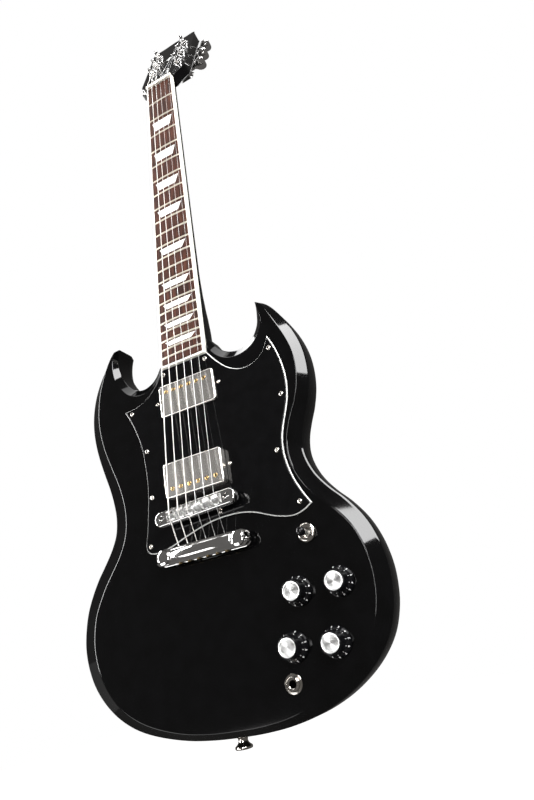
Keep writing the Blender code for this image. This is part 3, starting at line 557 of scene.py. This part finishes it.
def screw(name, base, radius, height, look, cross=True, body=GUITAR, deep=0.9):
    """Domed head with a cross or a single slot; the frame's z is the screw's axis."""
    profile = [(radius * 0.9, -0.3), (radius, 0.0)]
    for k in range(1, 6):
        angle = math.pi / 2 * k / 6
        profile.append((radius * math.cos(angle), height * math.sin(angle)))
    profile.append((radius * 0.12, height))
    # Each screw stops at its own turn, which its name gives
    turn = base @ Matrix.Rotation(0.5 + 0.9 * (len(name) % 5) + 0.4 * ord(name[-1]), 4, "Z")
    long = radius * (0.62 if cross else 1.3)
    thin = radius * 0.16
    high = height + 0.4
    low = height - deep
    cutters = [box(turn, (-long, -thin, low), (long, thin, high))]
    if cross:
        cutters.append(box(turn, (-thin, -long, low), (thin, long, high)))
    return piece(name, turned(base, profile, 28), look, body=body, cutters=cutters, sharp=40)


def make_screws():
    for number, (x, down) in enumerate(GUARD_SCREWS):
        screw(f"guard_screw_{number}", at(BODY, x, -GUARD_TOP, -down) @ FRONTWARD, 2.5, 1.2, NICKEL)
    for label, (x, down, _) in (("neck", NECK_PICKUP), ("bridge", BRIDGE_PICKUP)):
        for side in (-1, 1):
            base = at(BODY, x + side * PICKUP_SCREW_X, -GUARD_TOP, -down) @ FRONTWARD
            screw(f"{label}_pickup_screw_{side + 1}", base, 2.1, 1.3, NICKEL)
    for number, (x, down) in enumerate(CAVITY_SCREWS):
        screw(f"cavity_screw_{number}", at(BODY, x, THICKNESS, -down) @ BACKWARD, 2.4, 0.9, NICKEL)
    for number, z in enumerate((50.5, 8.0)):
        screw(f"truss_cover_screw_{number}", at(HEAD, 0, -1.9, z) @ FRONTWARD, 1.5, 0.7, NICKEL, deep=0.5)


# ---------------------------------------------------------------- neck, board and headstock

def board_half_width(s):
    return lerp(21.5, 28.5, s / BOARD_END)


def fret_position(number):
    return SCALE_LENGTH * (1 - 2 ** (-number / 12))


def crown(x):
    """Height of the domed fretboard beside its centre line."""
    return x * x / 610.0 - 0.4


def tuner_z(rank):
    return FIRST_TUNER + rank * TUNER_PITCH


def make_neck():
    # (s, half width, depth of the front face, depth of the back, squareness of the back)
    stations = [
        (-26, 21.5, 12.5, 25.0, 2.4), (-14, 20.5, 9.0, 24.6, 2.3), (-5.4, 21.0, 6.5, 22.6, 2.1),
        (8, 21.6, 6.5, 21.0, 2.0), (120, 23.3, 6.5, 21.8, 2.0), (260, 25.4, 6.5, 23.0, 2.0),
        (350, 26.8, 6.5, 24.6, 2.1), (376, 27.2, 6.5, 27.0, 2.3), (396, 27.5, 6.5, 30.2, 2.6),
        (412, 27.7, 6.5, 33.0, 3.0), (426, 27.9, 6.5, 34.6, 3.3), (444, 28.1, 6.5, 35.2, 3.5),
    ]
    rows = []
    for (s, half, top, back, power), (s2, half2, top2, back2, power2) in zip(stations, stations[1:]):
        for k in range(4):
            t = k / 4
            e = t * t * (3 - 2 * t) if abs(back2 - back) > 1.5 else t
            rows.append((lerp(s, s2, t), lerp(half, half2, t), lerp(top, top2, t), lerp(back, back2, e),
                         lerp(power, power2, t)))
    rows.append(stations[-1])
    rings = []
    for s, half, top, back, power in rows:
        ring = [Vector((half, top, -s)), Vector((-half, top, -s))]
        for k in range(33):
            angle = math.pi * k / 32
            cosine = math.cos(angle)
            x = -half * math.copysign(abs(cosine) ** (2 / power), cosine)
            ring.append(Vector((x, lerp(top + 1.0, back, math.sin(angle) ** (2 / power)), -s)))
        rings.append([NECK @ point for point in ring])
    piece("neck_lacquered", shell(rings), LACQUER, nodes=["neck"], sharp=50)


def make_headstock():
    half = list(HEAD_HALF_OUTLINE)
    knots = half + [(0, 176.5)] + [(-x, z) for x, z in reversed(half)]
    outline = [(p.x, p.y) for p in spline(knots, (0, len(knots) - 1), 5)]
    slab = prism(HEAD, list(reversed(outline)), 0, HEAD_THICKNESS, 0.9)
    cutters = []
    for side in (-1, 1):
        for k, x in enumerate(TUNER_X):
            spot = at(HEAD, side * x, -1, tuner_z(k)) @ BACKWARD
            cutters.append(turned(spot, ((5.3, 0), (5.3, 17)), 24))
    piece("headstock_lacquered", slab, LACQUER, cutters=cutters, sharp=40)


def make_headstock_inlay():
    ornament = [(0, 8.0), (2.6, 2.6), (6.4, 0), (2.6, -2.6), (0, -8.0), (-2.6, -2.6), (-6.4, 0), (-2.6, 2.6)]
    diamond = [(x, z + 102) for x, z in reversed(ornament)]
    piece("headstock_inlay", prism(HEAD, diamond, -0.06, 0.5), PEARL)


def make_fretboard():
    rings = []
    for s in (0.3, 120, 240, 360, BOARD_END - BINDING - 0.2):
        half = board_half_width(s) - BINDING - 0.2
        ring = [Vector((-half, BOARD_THICKNESS, -s)), Vector((half, BOARD_THICKNESS, -s))]
        for k in range(17):
            x = half * (1 - k / 8)
            ring.append(Vector((x, crown(x), -s)))
        rings.append([NECK @ point for point in ring])
    piece("fretboard_rosewood", shell(rings), ROSEWOOD, nodes=["fretboard"])


def make_frets():
    wires = []
    section = (
        (-1.2, 0.3), (-1.15, -0.3), (-0.75, -0.78), (0, -1.0), (0.75, -0.78), (1.15, -0.3), (1.2, 0.3),
    )
    for number in range(1, 23):
        s = fret_position(number)
        half = board_half_width(s) - BINDING + 0.1
        rings = []
        for k in range(15):
            x = half * (1 - k / 7)
            low = 0.55 if k in (0, 14) else 1.0
            rings.append([NECK @ Vector((x, crown(x) + y * low, -s + z)) for z, y in section])
        wires.append(shell(rings))
    piece("fret_wires", join(wires), FRET_WIRE)


def make_inlays():
    marks = []
    dots = []
    for number in INLAY_FRETS:
        above = fret_position(number - 1)
        below = fret_position(number)
        middle = (above + below) / 2
        reach = (below - above) * INLAY_REACH
        half = board_half_width(middle) - BINDING
        rings = []
        for k in range(17):
            share = k / 8 - 1
            ring = []
            for y, z in ((-0.05, -reach), (-0.05, reach), (0.5, reach), (0.5, -reach)):
                x = half * share * (INLAY_WIDE if z > 0 else INLAY_NARROW)
                ring.append(NECK @ Vector((x, crown(x) + y, z - middle)))
            rings.append(ring)
        marks.append(shell(rings))
        edge = board_half_width(middle)
        for shift in ((-4.0, 4.0) if number == 12 else (0.0,)):
            spot = at(NECK, -edge + 0.2, 3.0, -middle + shift) @ Matrix.Rotation(math.radians(-90), 4, "Y")
            dots.append(turned(spot, ((1.0, 0), (1.0, 0.3)), 16))
    piece("position_inlays", join(marks), PEARL)
    piece("side_dots", join(dots), BLACK_PLASTIC)


def bell_outline(shrink):
    half = [(15, 3.0), (14.6, 9), (12, 15), (9.2, 22), (7.8, 31), (7.6, 42), (7.0, 50), (4.5, 55)]
    half = [(x - shrink, z + (shrink if z < 4 else 0)) for x, z in half]
    knots = half + [(0, 57 - shrink)] + [(-x, z) for x, z in reversed(half)]
    return [(p.x, p.y) for p in spline(knots, (0, len(knots) - 1), 4)]


def make_truss_rod_cover():
    rings = []
    for y, shrink in ((-0.3, 0.0), (-0.6, 0.0), (-1.1, 0.45), (-1.75, 1.0), (-1.85, 1.3)):
        rings.append([HEAD @ Vector((x, y, z)) for x, z in bell_outline(shrink)])
    bm = shell(rings)
    second_look(bm, (1,))
    piece("truss_rod_cover_laminate", bm, [BLACK_PLY, WHITE_PLY], nodes=["truss_rod_cover"], keep=True)


# ---------------------------------------------------------------- pickups

def make_pickup(name, place, pole_z):
    base = at(BODY, place[0], -place[2], -place[1])
    skin = []
    for y, inward in ((16.0, 0.0), (2.0, 0.0), (1.1, 0.18), (0.5, 0.6), (0.15, 1.25), (0.0, 2.1), (0.0, 2.6)):
        corner = 3.4 - inward * 0.8
        points = rounded_rectangle(COVER_HALF_LENGTH - inward, COVER_HALF_WIDTH - inward, corner)
        skin.append([base @ Vector((x, y, z)) for x, z in points])
    hollow = prism(base, rounded_rectangle(33.4, 17.2, 1.6), 1.2, 17)
    piece(f"{name}_cover_plated", shell(skin), COVER_METAL, nodes=[f"{name}_cover"],
          cutters=[hollow], sharp=40)
    down = place[1] - pole_z
    share = (SCALE_LENGTH - BRIDGE_DOWN + down) / SCALE_LENGTH * 0.985
    for index in range(6):
        x = string_x(index, lerp(NUT_SPREAD, SADDLE_SPREAD, share))
        spot = at(BODY, x, -place[2], -down) @ FRONTWARD
        screw(f"{name}_pole_{index}", spot, 2.3, 0.7, BRASS, cross=False, deep=0.6)


# ---------------------------------------------------------------- strings, bridge and tailpiece

def string_x(index, spread):
    return spread * (index / 5 - 0.5)


def string_point(index, s):
    t = s / SCALE_LENGTH
    x = lerp(string_x(index, NUT_SPREAD), string_x(index, SADDLE_SPREAD), t)
    return NECK @ Vector((x, lerp(STRING_AT_NUT, STRING_AT_SADDLE, t) - STRING_RADII[index], -s))


def make_strings():
    """Each string's wire and tail meet at its saddle's peak, fixed in place; its coil turns with the post."""
    tail = at(BODY, 0, 0, -TAILPIECE_DOWN)
    for index, radius in enumerate(STRING_RADII):
        x = string_x(index, SADDLE_SPREAD)
        side = -1 if index < 3 else 1
        rank = index if index < 3 else 5 - index
        post_z = tuner_z(rank)
        start = tail @ Vector((x, -STRING_HOLE_HEIGHT, -4.0))
        rear = tail @ Vector((x, -STRING_HOLE_HEIGHT, 8.0))
        peak = string_point(index, SCALE_LENGTH + SETBACKS[index])
        nut = string_point(index, 0.0)
        nut_x = string_x(index, NUT_SPREAD)
        nut_back = NECK @ Vector((nut_x, STRING_AT_NUT - radius, NUT_THICKNESS + 0.4))
        end = HEAD @ Vector((side * (TUNER_X[rank] - 3.4 - radius), -7.2 + radius, post_z))
        look = WOUND if index < 3 else PLAIN
        saddle = f"saddle_{index + 1}"
        speaking = [peak.lerp(nut, k / 16) for k in range(17)] + [nut_back, end]
        piece(f"string_{index + 1}_wire", tube(speaking, radius * 0.001), look, body=saddle,
              nodes=[f"string_{index + 1}"], sharp=60, stretch=(nut, peak))
        behind = [start] + [rear.lerp(peak, k / 10) for k in range(11)]
        piece(f"string_{index + 1}_tail", tube(behind, radius * 0.001), look, body=saddle,
              sharp=60, stretch=(rear, peak))
        post = at(HEAD, side * TUNER_X[rank], 0, post_z)
        coil = []
        for k in range(WINDINGS * WINDING_STEPS + 1):
            turn = k / WINDING_STEPS
            angle = (math.pi if side > 0 else 0.0) + side * 2 * math.pi * turn
            height = 7.2 - radius - turn * (2 * radius + 0.05)
            reach = lerp(2.6, 3.0, min(abs(height - 7.2) / 1.6, 1)) + radius
            coil.append(post @ Vector((reach * math.cos(angle), -height, reach * math.sin(angle))))
        piece(f"string_{index + 1}_coil", tube(coil, radius * 0.001, 10), look,
              body=f"tuner_post_{index + 1}", sharp=60)
        ball = at(tail, x, -STRING_HOLE_HEIGHT, -6.4) @ Matrix.Rotation(math.pi, 4, "X")
        ring = ((0.8, 0.0), (1.9, 0.0), (2.1, 0.5), (1.8, 1.2), (2.1, 1.9), (1.9, 2.3), (0.8, 2.3))
        piece(f"string_{index + 1}_ball", turned(ball, ring, 24, looped=True), BRASS, sharp=45)


def make_bridge():
    base = at(BODY, 0, 0, -BRIDGE_DOWN) @ Matrix.Rotation(math.radians(-BRIDGE_SLANT), 4, "Y")
    levels = (
        (-9.6, 0.9), (-9.9, 0.3), (-10.6, 0.0), (-16.2, 0.0), (-17.2, 0.4), (-17.7, 1.1), (-17.8, 1.8),
    )
    skin = []
    for y, inward in levels:
        points = rounded_rectangle(46 - inward, 7.5 - inward, 7.0 - inward, 12)
        skin.append([base @ Vector((x, y, z)) for x, z in points])
    cutters = [box(base, (-31.6, -25, -5.3), (31.6, -11.8, 5.3))]
    for side in (-1, 1):
        spot = at(base, side * BRIDGE_POST_X, -5, 0) @ FRONTWARD
        cutters.append(turned(spot, ((3.3, 0), (3.3, 16)), 32))
    piece("bridge_bar", shell(skin), CHROME, nodes=["bridge_body"], cutters=cutters, sharp=40)
    for label, side in (("bass", -1), ("treble", 1)):
        spot = at(base, side * BRIDGE_POST_X, 0, 0) @ FRONTWARD
        wheel = (
            (2.8, -17), (2.8, 7.2), (6.0, 7.2), (6.4, 7.5), (6.4, 9.0), (6.0, 9.3), (2.9, 9.3),
            (2.9, 15.2), (2.6, 15.5), (0.3, 15.5),
        )
        slot = [box(spot, (-4, -0.5, 14.6), (4, 0.5, 17))]
        piece(f"bridge_post_{label}_turned", turned(spot, wheel, 40), CHROME, nodes=[f"bridge_post_{label}"],
              cutters=slot)
    for index in range(6):
        x = string_x(index, SADDLE_SPREAD)
        spot = at(base, x, -13.6, 7.3)
        screw(f"intonation_screw_{index}", spot, 2.0, 1.3, NICKEL, cross=False, deep=0.6)
        rod = at(base, x, -13.6, -5.6)
        piece(f"intonation_rod_{index}", turned(rod, ((0.9, 0), (0.9, 11)), 16), STEEL)


def make_tailpiece():
    base = at(BODY, 0, 0, -TAILPIECE_DOWN)
    knots = ((-7.0, -5.2), (0, -5.0), (6.4, -5.2), (7.5, -7.2), (7.3, -12.2), (4.8, -15.2), (0.5, -16.2),
             (-3.6, -15.4), (-6.4, -12.6), (-7.4, -8.0))
    section = [(p.x, p.y) for p in spline(knots, (0, 2), 5)]
    rings = []
    for x, share in ((-33.4, 0.86), (-33.2, 0.95), (-32.6, 1.0), (32.6, 1.0), (33.2, 0.95), (33.4, 0.86)):
        rings.append([base @ Vector((x, (y + 10.5) * share - 10.5, z * share)) for z, y in section])
    lug = prism(base, list(reversed(rounded_rectangle(50.5, 6.7, 6.6, 10))), -14.0, -7.0, 1.0)
    cutters = []
    for side in (-1, 1):
        cutters.append(turned(at(base, side * STUD_X, -3, 0) @ FRONTWARD, ((4.1, 0), (4.1, 16)), 32))
        near, far = sorted((side * STUD_X, side * 60))
        cutters.append(box(base, (near, -20, -4.1), (far, -3, 4.1)))
    piece("tailpiece_lugs", lug, CHROME, cutters=cutters, sharp=45)
    holes = []
    for index in range(6):
        spot = at(base, string_x(index, SADDLE_SPREAD), -STRING_HOLE_HEIGHT, -12)
        holes.append(turned(spot, ((1.3, 0), (1.3, 24)), 16))
    piece("tailpiece_bar", shell(rings), CHROME, nodes=["tailpiece"], cutters=holes, sharp=45)
    for label, side in (("bass", -1), ("treble", 1)):
        spot = at(base, side * STUD_X, 0, 0) @ FRONTWARD
        stud = (
            (4.4, -19), (4.4, 3.0), (6.8, 3.0), (7.0, 3.3), (7.0, 6.3), (6.8, 6.6), (3.8, 6.6), (3.8, 14.2),
            (6.9, 14.2), (7.3, 14.6), (7.3, 16.2), (6.9, 16.9), (5.6, 17.5), (3.4, 17.9), (0.4, 18.0),
        )
        slot = [box(spot, (-9, -0.9, 16.6), (9, 0.9, 19))]
        piece(f"tailpiece_stud_{label}_turned", turned(spot, stud, 48), CHROME,
              nodes=[f"tailpiece_stud_{label}"], cutters=slot)


# ---------------------------------------------------------------- tuners

def make_tuner_housing(number, base, axle, side):
    case = [(x + side * 0.6, z + 1.8) for x, z in rounded_rectangle(8.6, 11.0, 3.4)]
    gearbox = prism(base, list(reversed(case)), HEAD_THICKNESS + 0.3, 26.0, 1.6)
    sleeve = turned(axle, ((3.6, 10), (3.6, 13.6), (3.2, 14.4), (3.2, 15.2)), 24)
    washer = (
        (3.4, -16), (3.4, 3.2), (5.2, 3.2), (5.7, 2.9), (5.9, 1.5), (6.4, 1.3), (7.1, 0.9), (7.2, 0.3),
        (5.0, 0.3), (5.0, -16),
    )
    ferrule = turned(base @ FRONTWARD, washer, 40, looped=True)
    piece(f"tuner_housing_{number}_cast", join([gearbox, sleeve, ferrule]), CHROME,
          nodes=[f"tuner_housing_{number}"])


def make_tuner_post(number, base):
    profile = (
        (5.4, -22.6), (5.4, -18), (3.0, -18), (3.0, 5.2), (2.5, 6.4), (2.4, 7.4), (2.6, 8.6),
        (3.0, 9.8), (3.0, 12.2), (2.7, 12.6), (0.3, 12.6),
    )
    bores = [turned(at(base, 0, -8.2, -6), ((0.9, 0), (0.9, 12)), 14)]
    piece(f"tuner_post_{number}_turned", turned(base @ FRONTWARD, profile, 32), CHROME,
          body=f"tuner_post_{number}", nodes=[f"tuner_post_{number}"], cutters=bores)


def make_tuner_button(number, axle):
    # (place along the axle, half height, half thickness)
    sections = (
        (0.0, 2.3, 2.3), (9.0, 2.3, 2.3), (9.4, 1.9, 1.9), (15.6, 1.9, 1.9), (16.0, 3.4, 3.4),
        (18.4, 3.4, 3.4), (19.6, 2.6, 2.6), (22.0, 3.4, 3.0), (25.6, 7.6, 3.4), (30.6, 9.6, 3.4),
        (36.0, 9.0, 3.0), (38.4, 6.4, 2.0), (39.0, 4.4, 1.2),
    )
    rings = []
    for along, high, thick in sections:
        ring = []
        for k in range(16):
            angle = 2 * math.pi * k / 16
            ring.append(axle @ Vector((thick * math.cos(angle), high * math.sin(angle), along)))
        rings.append(ring)
    piece(f"tuner_button_{number}_cast", shell(rings), CHROME, body=f"tuner_button_{number}",
          nodes=[f"tuner_button_{number}"], subdivide=1, sharp=70)


def make_tuners():
    for side in (-1, 1):
        for rank, x in enumerate(TUNER_X):
            number = rank + 1 if side < 0 else 6 - rank
            base = at(HEAD, side * x, 0, tuner_z(rank))
            axle = at(base, -side * 4.6, 20, 8.6) @ Matrix.Rotation(side * math.pi / 2, 4, "Y")
            make_tuner_housing(number, base, axle, side)
            make_tuner_post(number, base)
            make_tuner_button(number, axle)


# ---------------------------------------------------------------- controls

def glyph(text, size):
    """Flat outline mesh of a numeral, centred on its own origin, in millimetres."""
    curve = bpy.data.curves.new("numeral", "FONT")
    curve.body = text
    curve.size = size
    curve.extrude = 0.04
    curve.align_x = "CENTER"
    curve.align_y = "CENTER"
    obj = bpy.data.objects.new("numeral", curve)
    bpy.context.scene.collection.objects.link(obj)
    bpy.context.view_layer.update()
    mesh = bpy.data.meshes.new_from_object(obj.evaluated_get(bpy.context.evaluated_depsgraph_get()))
    bpy.data.objects.remove(obj)
    bpy.data.curves.remove(curve)
    bm = bmesh.new()
    bm.from_mesh(mesh)
    bpy.data.meshes.remove(mesh)
    return bm


def make_knobs():
    profile = (
        (3.0, -15), (3.0, 5.6), (7.4, 5.6), (7.4, 0.8), (12.9, 0.8), (13.15, 1.1), (13.1, 2.0), (11.2, 5.3),
        (10.7, 5.9), (10.0, 6.6), (9.75, 7.4), (9.4, 15.6), (9.2, 16.4), (8.7, 16.9), (8.2, 17.0),
        (8.1, 16.8), (0.4, 16.8),
    )
    skirt = math.atan2(3.6, 2.1)
    for name, (x, down, turn) in KNOBS.items():
        base = at(BODY, x, 0, -down) @ FRONTWARD
        piece(f"{name}_moulded", turned(base, profile, 72), BLACK_PLASTIC, body=name, nodes=[name])
        insert = ((7.9, 16.2), (7.9, 16.95), (7.6, 17.1), (6.0, 17.1), (5.85, 17.0), (0.3, 17.0))
        piece(f"{name}_insert", turned(base, insert, 64), BRUSHED, body=name)
        marks = []
        for k in range(11):
            angle = math.radians(turn - 30 * k)
            around = base @ Matrix.Rotation(angle, 4, "Z")
            spot = at(around, 0, 11.95, 4.15) @ Matrix.Rotation(-skirt, 4, "X")
            numeral = glyph(str(k), 3.1)
            bmesh.ops.transform(numeral, matrix=spot, verts=numeral.verts)
            marks.append(numeral)
            tick = at(around, 0, 10.2, 6.55) @ Matrix.Rotation(-skirt, 4, "X")
            marks.append(box(tick, (-0.17, -0.45, -0.02), (0.17, 0.45, 0.08)))
        piece(f"{name}_numerals", join(marks), PRINT, body=name)


def make_controls():
    base = at(BODY, TOGGLE[0], 0, -TOGGLE[1]) @ FRONTWARD
    nut = (
        (5.0, -8), (4.5, 3.0), (7.0, 3.0), (7.6, 2.7), (8.3, 2.2), (8.5, 1.6), (8.5, 0.5), (6.0, 0.3),
        (6.0, -8),
    )
    case = box(base, (-8.5, -11.5, -24), (8.5, 11.5, -7.5))
    piece("switch_body_nut", join([turned(base, nut, 56, looped=True), case]), NICKEL, nodes=["switch_body"])
    lever = (
        (1.4, -6.8), (1.4, -5.0), (3.0, -3.2), (3.0, -0.6), (1.5, 1.0), (1.5, 8.2), (2.7, 8.4), (3.4, 9.6),
        (3.9, 11.6), (4.15, 14.0), (4.0, 16.0), (3.3, 17.7), (2.0, 18.6), (0.5, 18.8),
    )
    bm = turned(base, lever, 40)
    second_look(bm, range(5))
    piece("toggle_lever_capped", bm, [BLACK_PLASTIC, STEEL], body="toggle_lever", nodes=["toggle_lever"],
          keep=True)
    base = at(BODY, JACK[0], 0, -JACK[1]) @ FRONTWARD
    barrel = (
        (3.3, -26), (3.3, 2.6), (3.7, 2.95), (5.3, 2.95), (5.8, 2.6), (6.3, 1.9), (6.4, 1.2), (7.9, 1.1),
        (8.2, 0.8), (8.2, 0.3), (4.8, 0.3), (4.8, -7.3), (8.6, -7.3), (8.6, -26),
    )
    piece("output_jack_turned", turned(base, barrel, 56, looped=True), NICKEL, nodes=["output_jack"])
    cover = prism(BODY, cavity_outline(4.5), THICKNESS - 2.1, THICKNESS, 0.4)
    piece("control_cavity_cover_moulded", cover, BLACK_PLASTIC, nodes=["control_cavity_cover"],
          sharp=50)


def make_strap_buttons():
    face = (
        (0.3, 0.5), (2.6, 0.5), (3.0, 0.0), (7.0, 0.0), (7.6, 0.3), (7.9, 0.9), (7.9, 1.9), (7.5, 2.6),
        (6.0, 3.7), (4.9, 4.9), (4.3, 6.4), (4.3, 7.6), (4.8, 9.0), (5.6, 9.6), (1.8, 9.6),
    )
    heel = at(BODY, 0, THICKNESS + 9.9, -12) @ FRONTWARD
    for label, base, screw_end in (("end", WORLD, 29.0), ("heel", heel, 19.6)):
        piece(f"strap_button_{label}_turned", turned(base, face + ((1.8, screw_end),), 48), NICKEL,
              nodes=[f"strap_button_{label}"])


def paint_nodes():
    """Finishes for the CAD nodes that stay in view or lie inside."""
    looks = {
        "fretboard_binding": CREAM, "nut": BONE, "truss_rod": STEEL, "control_board": CIRCUIT,
        "neck_pickup_coils": MATT_BLACK, "bridge_pickup_coils": MATT_BLACK,
    }
    for index in range(1, 7):
        looks[f"saddle_{index}"] = STEEL
    for name, look in looks.items():
        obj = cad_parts[name]
        for number in range(len(obj.data.materials)):
            obj.data.materials[number] = look


# ---------------------------------------------------------------- stage

def make_stage():
    mesh = bpy.data.meshes.new("floor")
    corners = [(-5, -0.25, -0.5), (1.5, -0.25, -0.5), (1.5, 6, -0.5), (-5, 6, -0.5)]
    mesh.from_pydata(corners, [], [(0, 1, 2, 3)])
    floor = bpy.data.objects.new("floor", mesh)
    bpy.context.scene.collection.objects.link(floor)
    material = bpy.data.materials.new("floor_white")
    material.use_nodes = True
    shader = material.node_tree.nodes["Principled BSDF"]
    shader.inputs["Base Color"].default_value = (0.93, 0.93, 0.93, 1)
    shader.inputs["Roughness"].default_value = 0.9
    shader.inputs["Emission Color"].default_value = (1, 1, 1, 1)
    shader.inputs["Emission Strength"].default_value = 0.95
    mesh.materials.append(material)
    floor.visible_glossy = False


# Softboxes: (name, azimuth, elevation, distance, width, height, power) in degrees, metres and watts
LIGHT_TARGET = Vector((0, 0, 0.35))
LIGHTS = (
    ("softbox_right", -35, 34, 1.6, 0.70, 1.15, 50),
    ("strip_right", -60, 14, 1.6, 0.16, 0.5, 5),
    ("strip_crease", -80, 6, 1.6, 0.14, 1.2, 10),
    ("strip_left", -150, 14, 1.6, 0.22, 1.5, 26),
    ("softbox_top", -70, 84, 1.8, 1.2, 0.7, 7),
    ("softbox_behind", 150, 58, 1.6, 0.8, 0.6, 8),
    ("card_low", -128, -30, 1.6, 0.9, 0.5, 4.5),
    ("card_high", -162, 60, 1.6, 0.5, 0.4, 1.6),
    ("panel_left", 178, -20, 1.6, 1.0, 0.5, 0.25),
)


def area_light(name, azimuth, elevation, distance, width, height, power):
    """Softbox seen from the guitar in a direction, facing it."""
    a = math.radians(azimuth)
    e = math.radians(elevation)
    direction = Vector((math.cos(a) * math.cos(e), math.sin(a) * math.cos(e), math.sin(e)))
    light = bpy.data.lights.new(name, "AREA")
    light.shape = "RECTANGLE"
    light.size = width
    light.size_y = height
    light.energy = power
    obj = bpy.data.objects.new(name, light)
    obj.location = LIGHT_TARGET + direction * distance
    obj.rotation_euler = direction.to_track_quat("Z", "Y").to_euler()
    obj.visible_camera = False
    bpy.context.scene.collection.objects.link(obj)


def make_world():
    """White to the camera, and a dim room to everything else."""
    world = bpy.data.worlds.new("studio")
    bpy.context.scene.world = world
    world.use_nodes = True
    nodes = world.node_tree.nodes
    links = world.node_tree.links
    nodes.clear()
    path = nodes.new("ShaderNodeLightPath")
    place = nodes.new("ShaderNodeTexCoord")
    split = nodes.new("ShaderNodeSeparateXYZ")
    ramp = nodes.new("ShaderNodeMapRange")
    room = nodes.new("ShaderNodeBackground")
    white = nodes.new("ShaderNodeBackground")
    mix = nodes.new("ShaderNodeMixShader")
    out = nodes.new("ShaderNodeOutputWorld")
    ramp.inputs["From Min"].default_value = -0.6
    ramp.inputs["From Max"].default_value = 0.5
    ramp.inputs["To Min"].default_value = 0.12
    ramp.inputs["To Max"].default_value = 0.10
    links.new(place.outputs["Generated"], split.inputs["Vector"])
    links.new(split.outputs["Y"], ramp.inputs["Value"])
    links.new(ramp.outputs["Result"], room.inputs["Strength"])
    room.inputs["Color"].default_value = (1.0, 0.97, 0.94, 1)
    white.inputs["Color"].default_value = (1, 1, 1, 1)
    links.new(path.outputs["Is Camera Ray"], mix.inputs["Fac"])
    links.new(room.outputs["Background"], mix.inputs[1])
    links.new(white.outputs["Background"], mix.inputs[2])
    links.new(mix.outputs["Shader"], out.inputs["Surface"])


def make_camera():
    """Placed by fitting the fret and hardware positions to the photograph."""
    data = bpy.data.cameras.new("camera")
    data.lens = 26.764
    data.sensor_width = 36.0
    data.shift_x = -0.00955
    data.shift_y = 0.0005
    data.clip_start = 0.01
    camera = bpy.data.objects.new("camera", data)
    camera.location = (0.29896, -0.51783, 0.07203)
    camera.rotation_euler = [math.radians(angle) for angle in (112.94506, 9.92112, 26.22811)]
    bpy.context.scene.collection.objects.link(camera)
    bpy.context.scene.camera = camera


make_camera()
make_stage()
for light in LIGHTS:
    area_light(*light)
make_world()
bpy.context.scene.view_settings.view_transform = "Standard"
make_body()
make_guard()
make_headstock()
make_neck()
make_headstock_inlay()
make_fretboard()
make_frets()
make_inlays()
make_truss_rod_cover()
make_pickup("neck_pickup", NECK_PICKUP, POLE_OFFSET)
make_pickup("bridge_pickup", BRIDGE_PICKUP, -POLE_OFFSET)
make_bridge()
make_tailpiece()
make_strings()
make_tuners()
make_knobs()
make_controls()
make_strap_buttons()
make_screws()
paint_nodes()
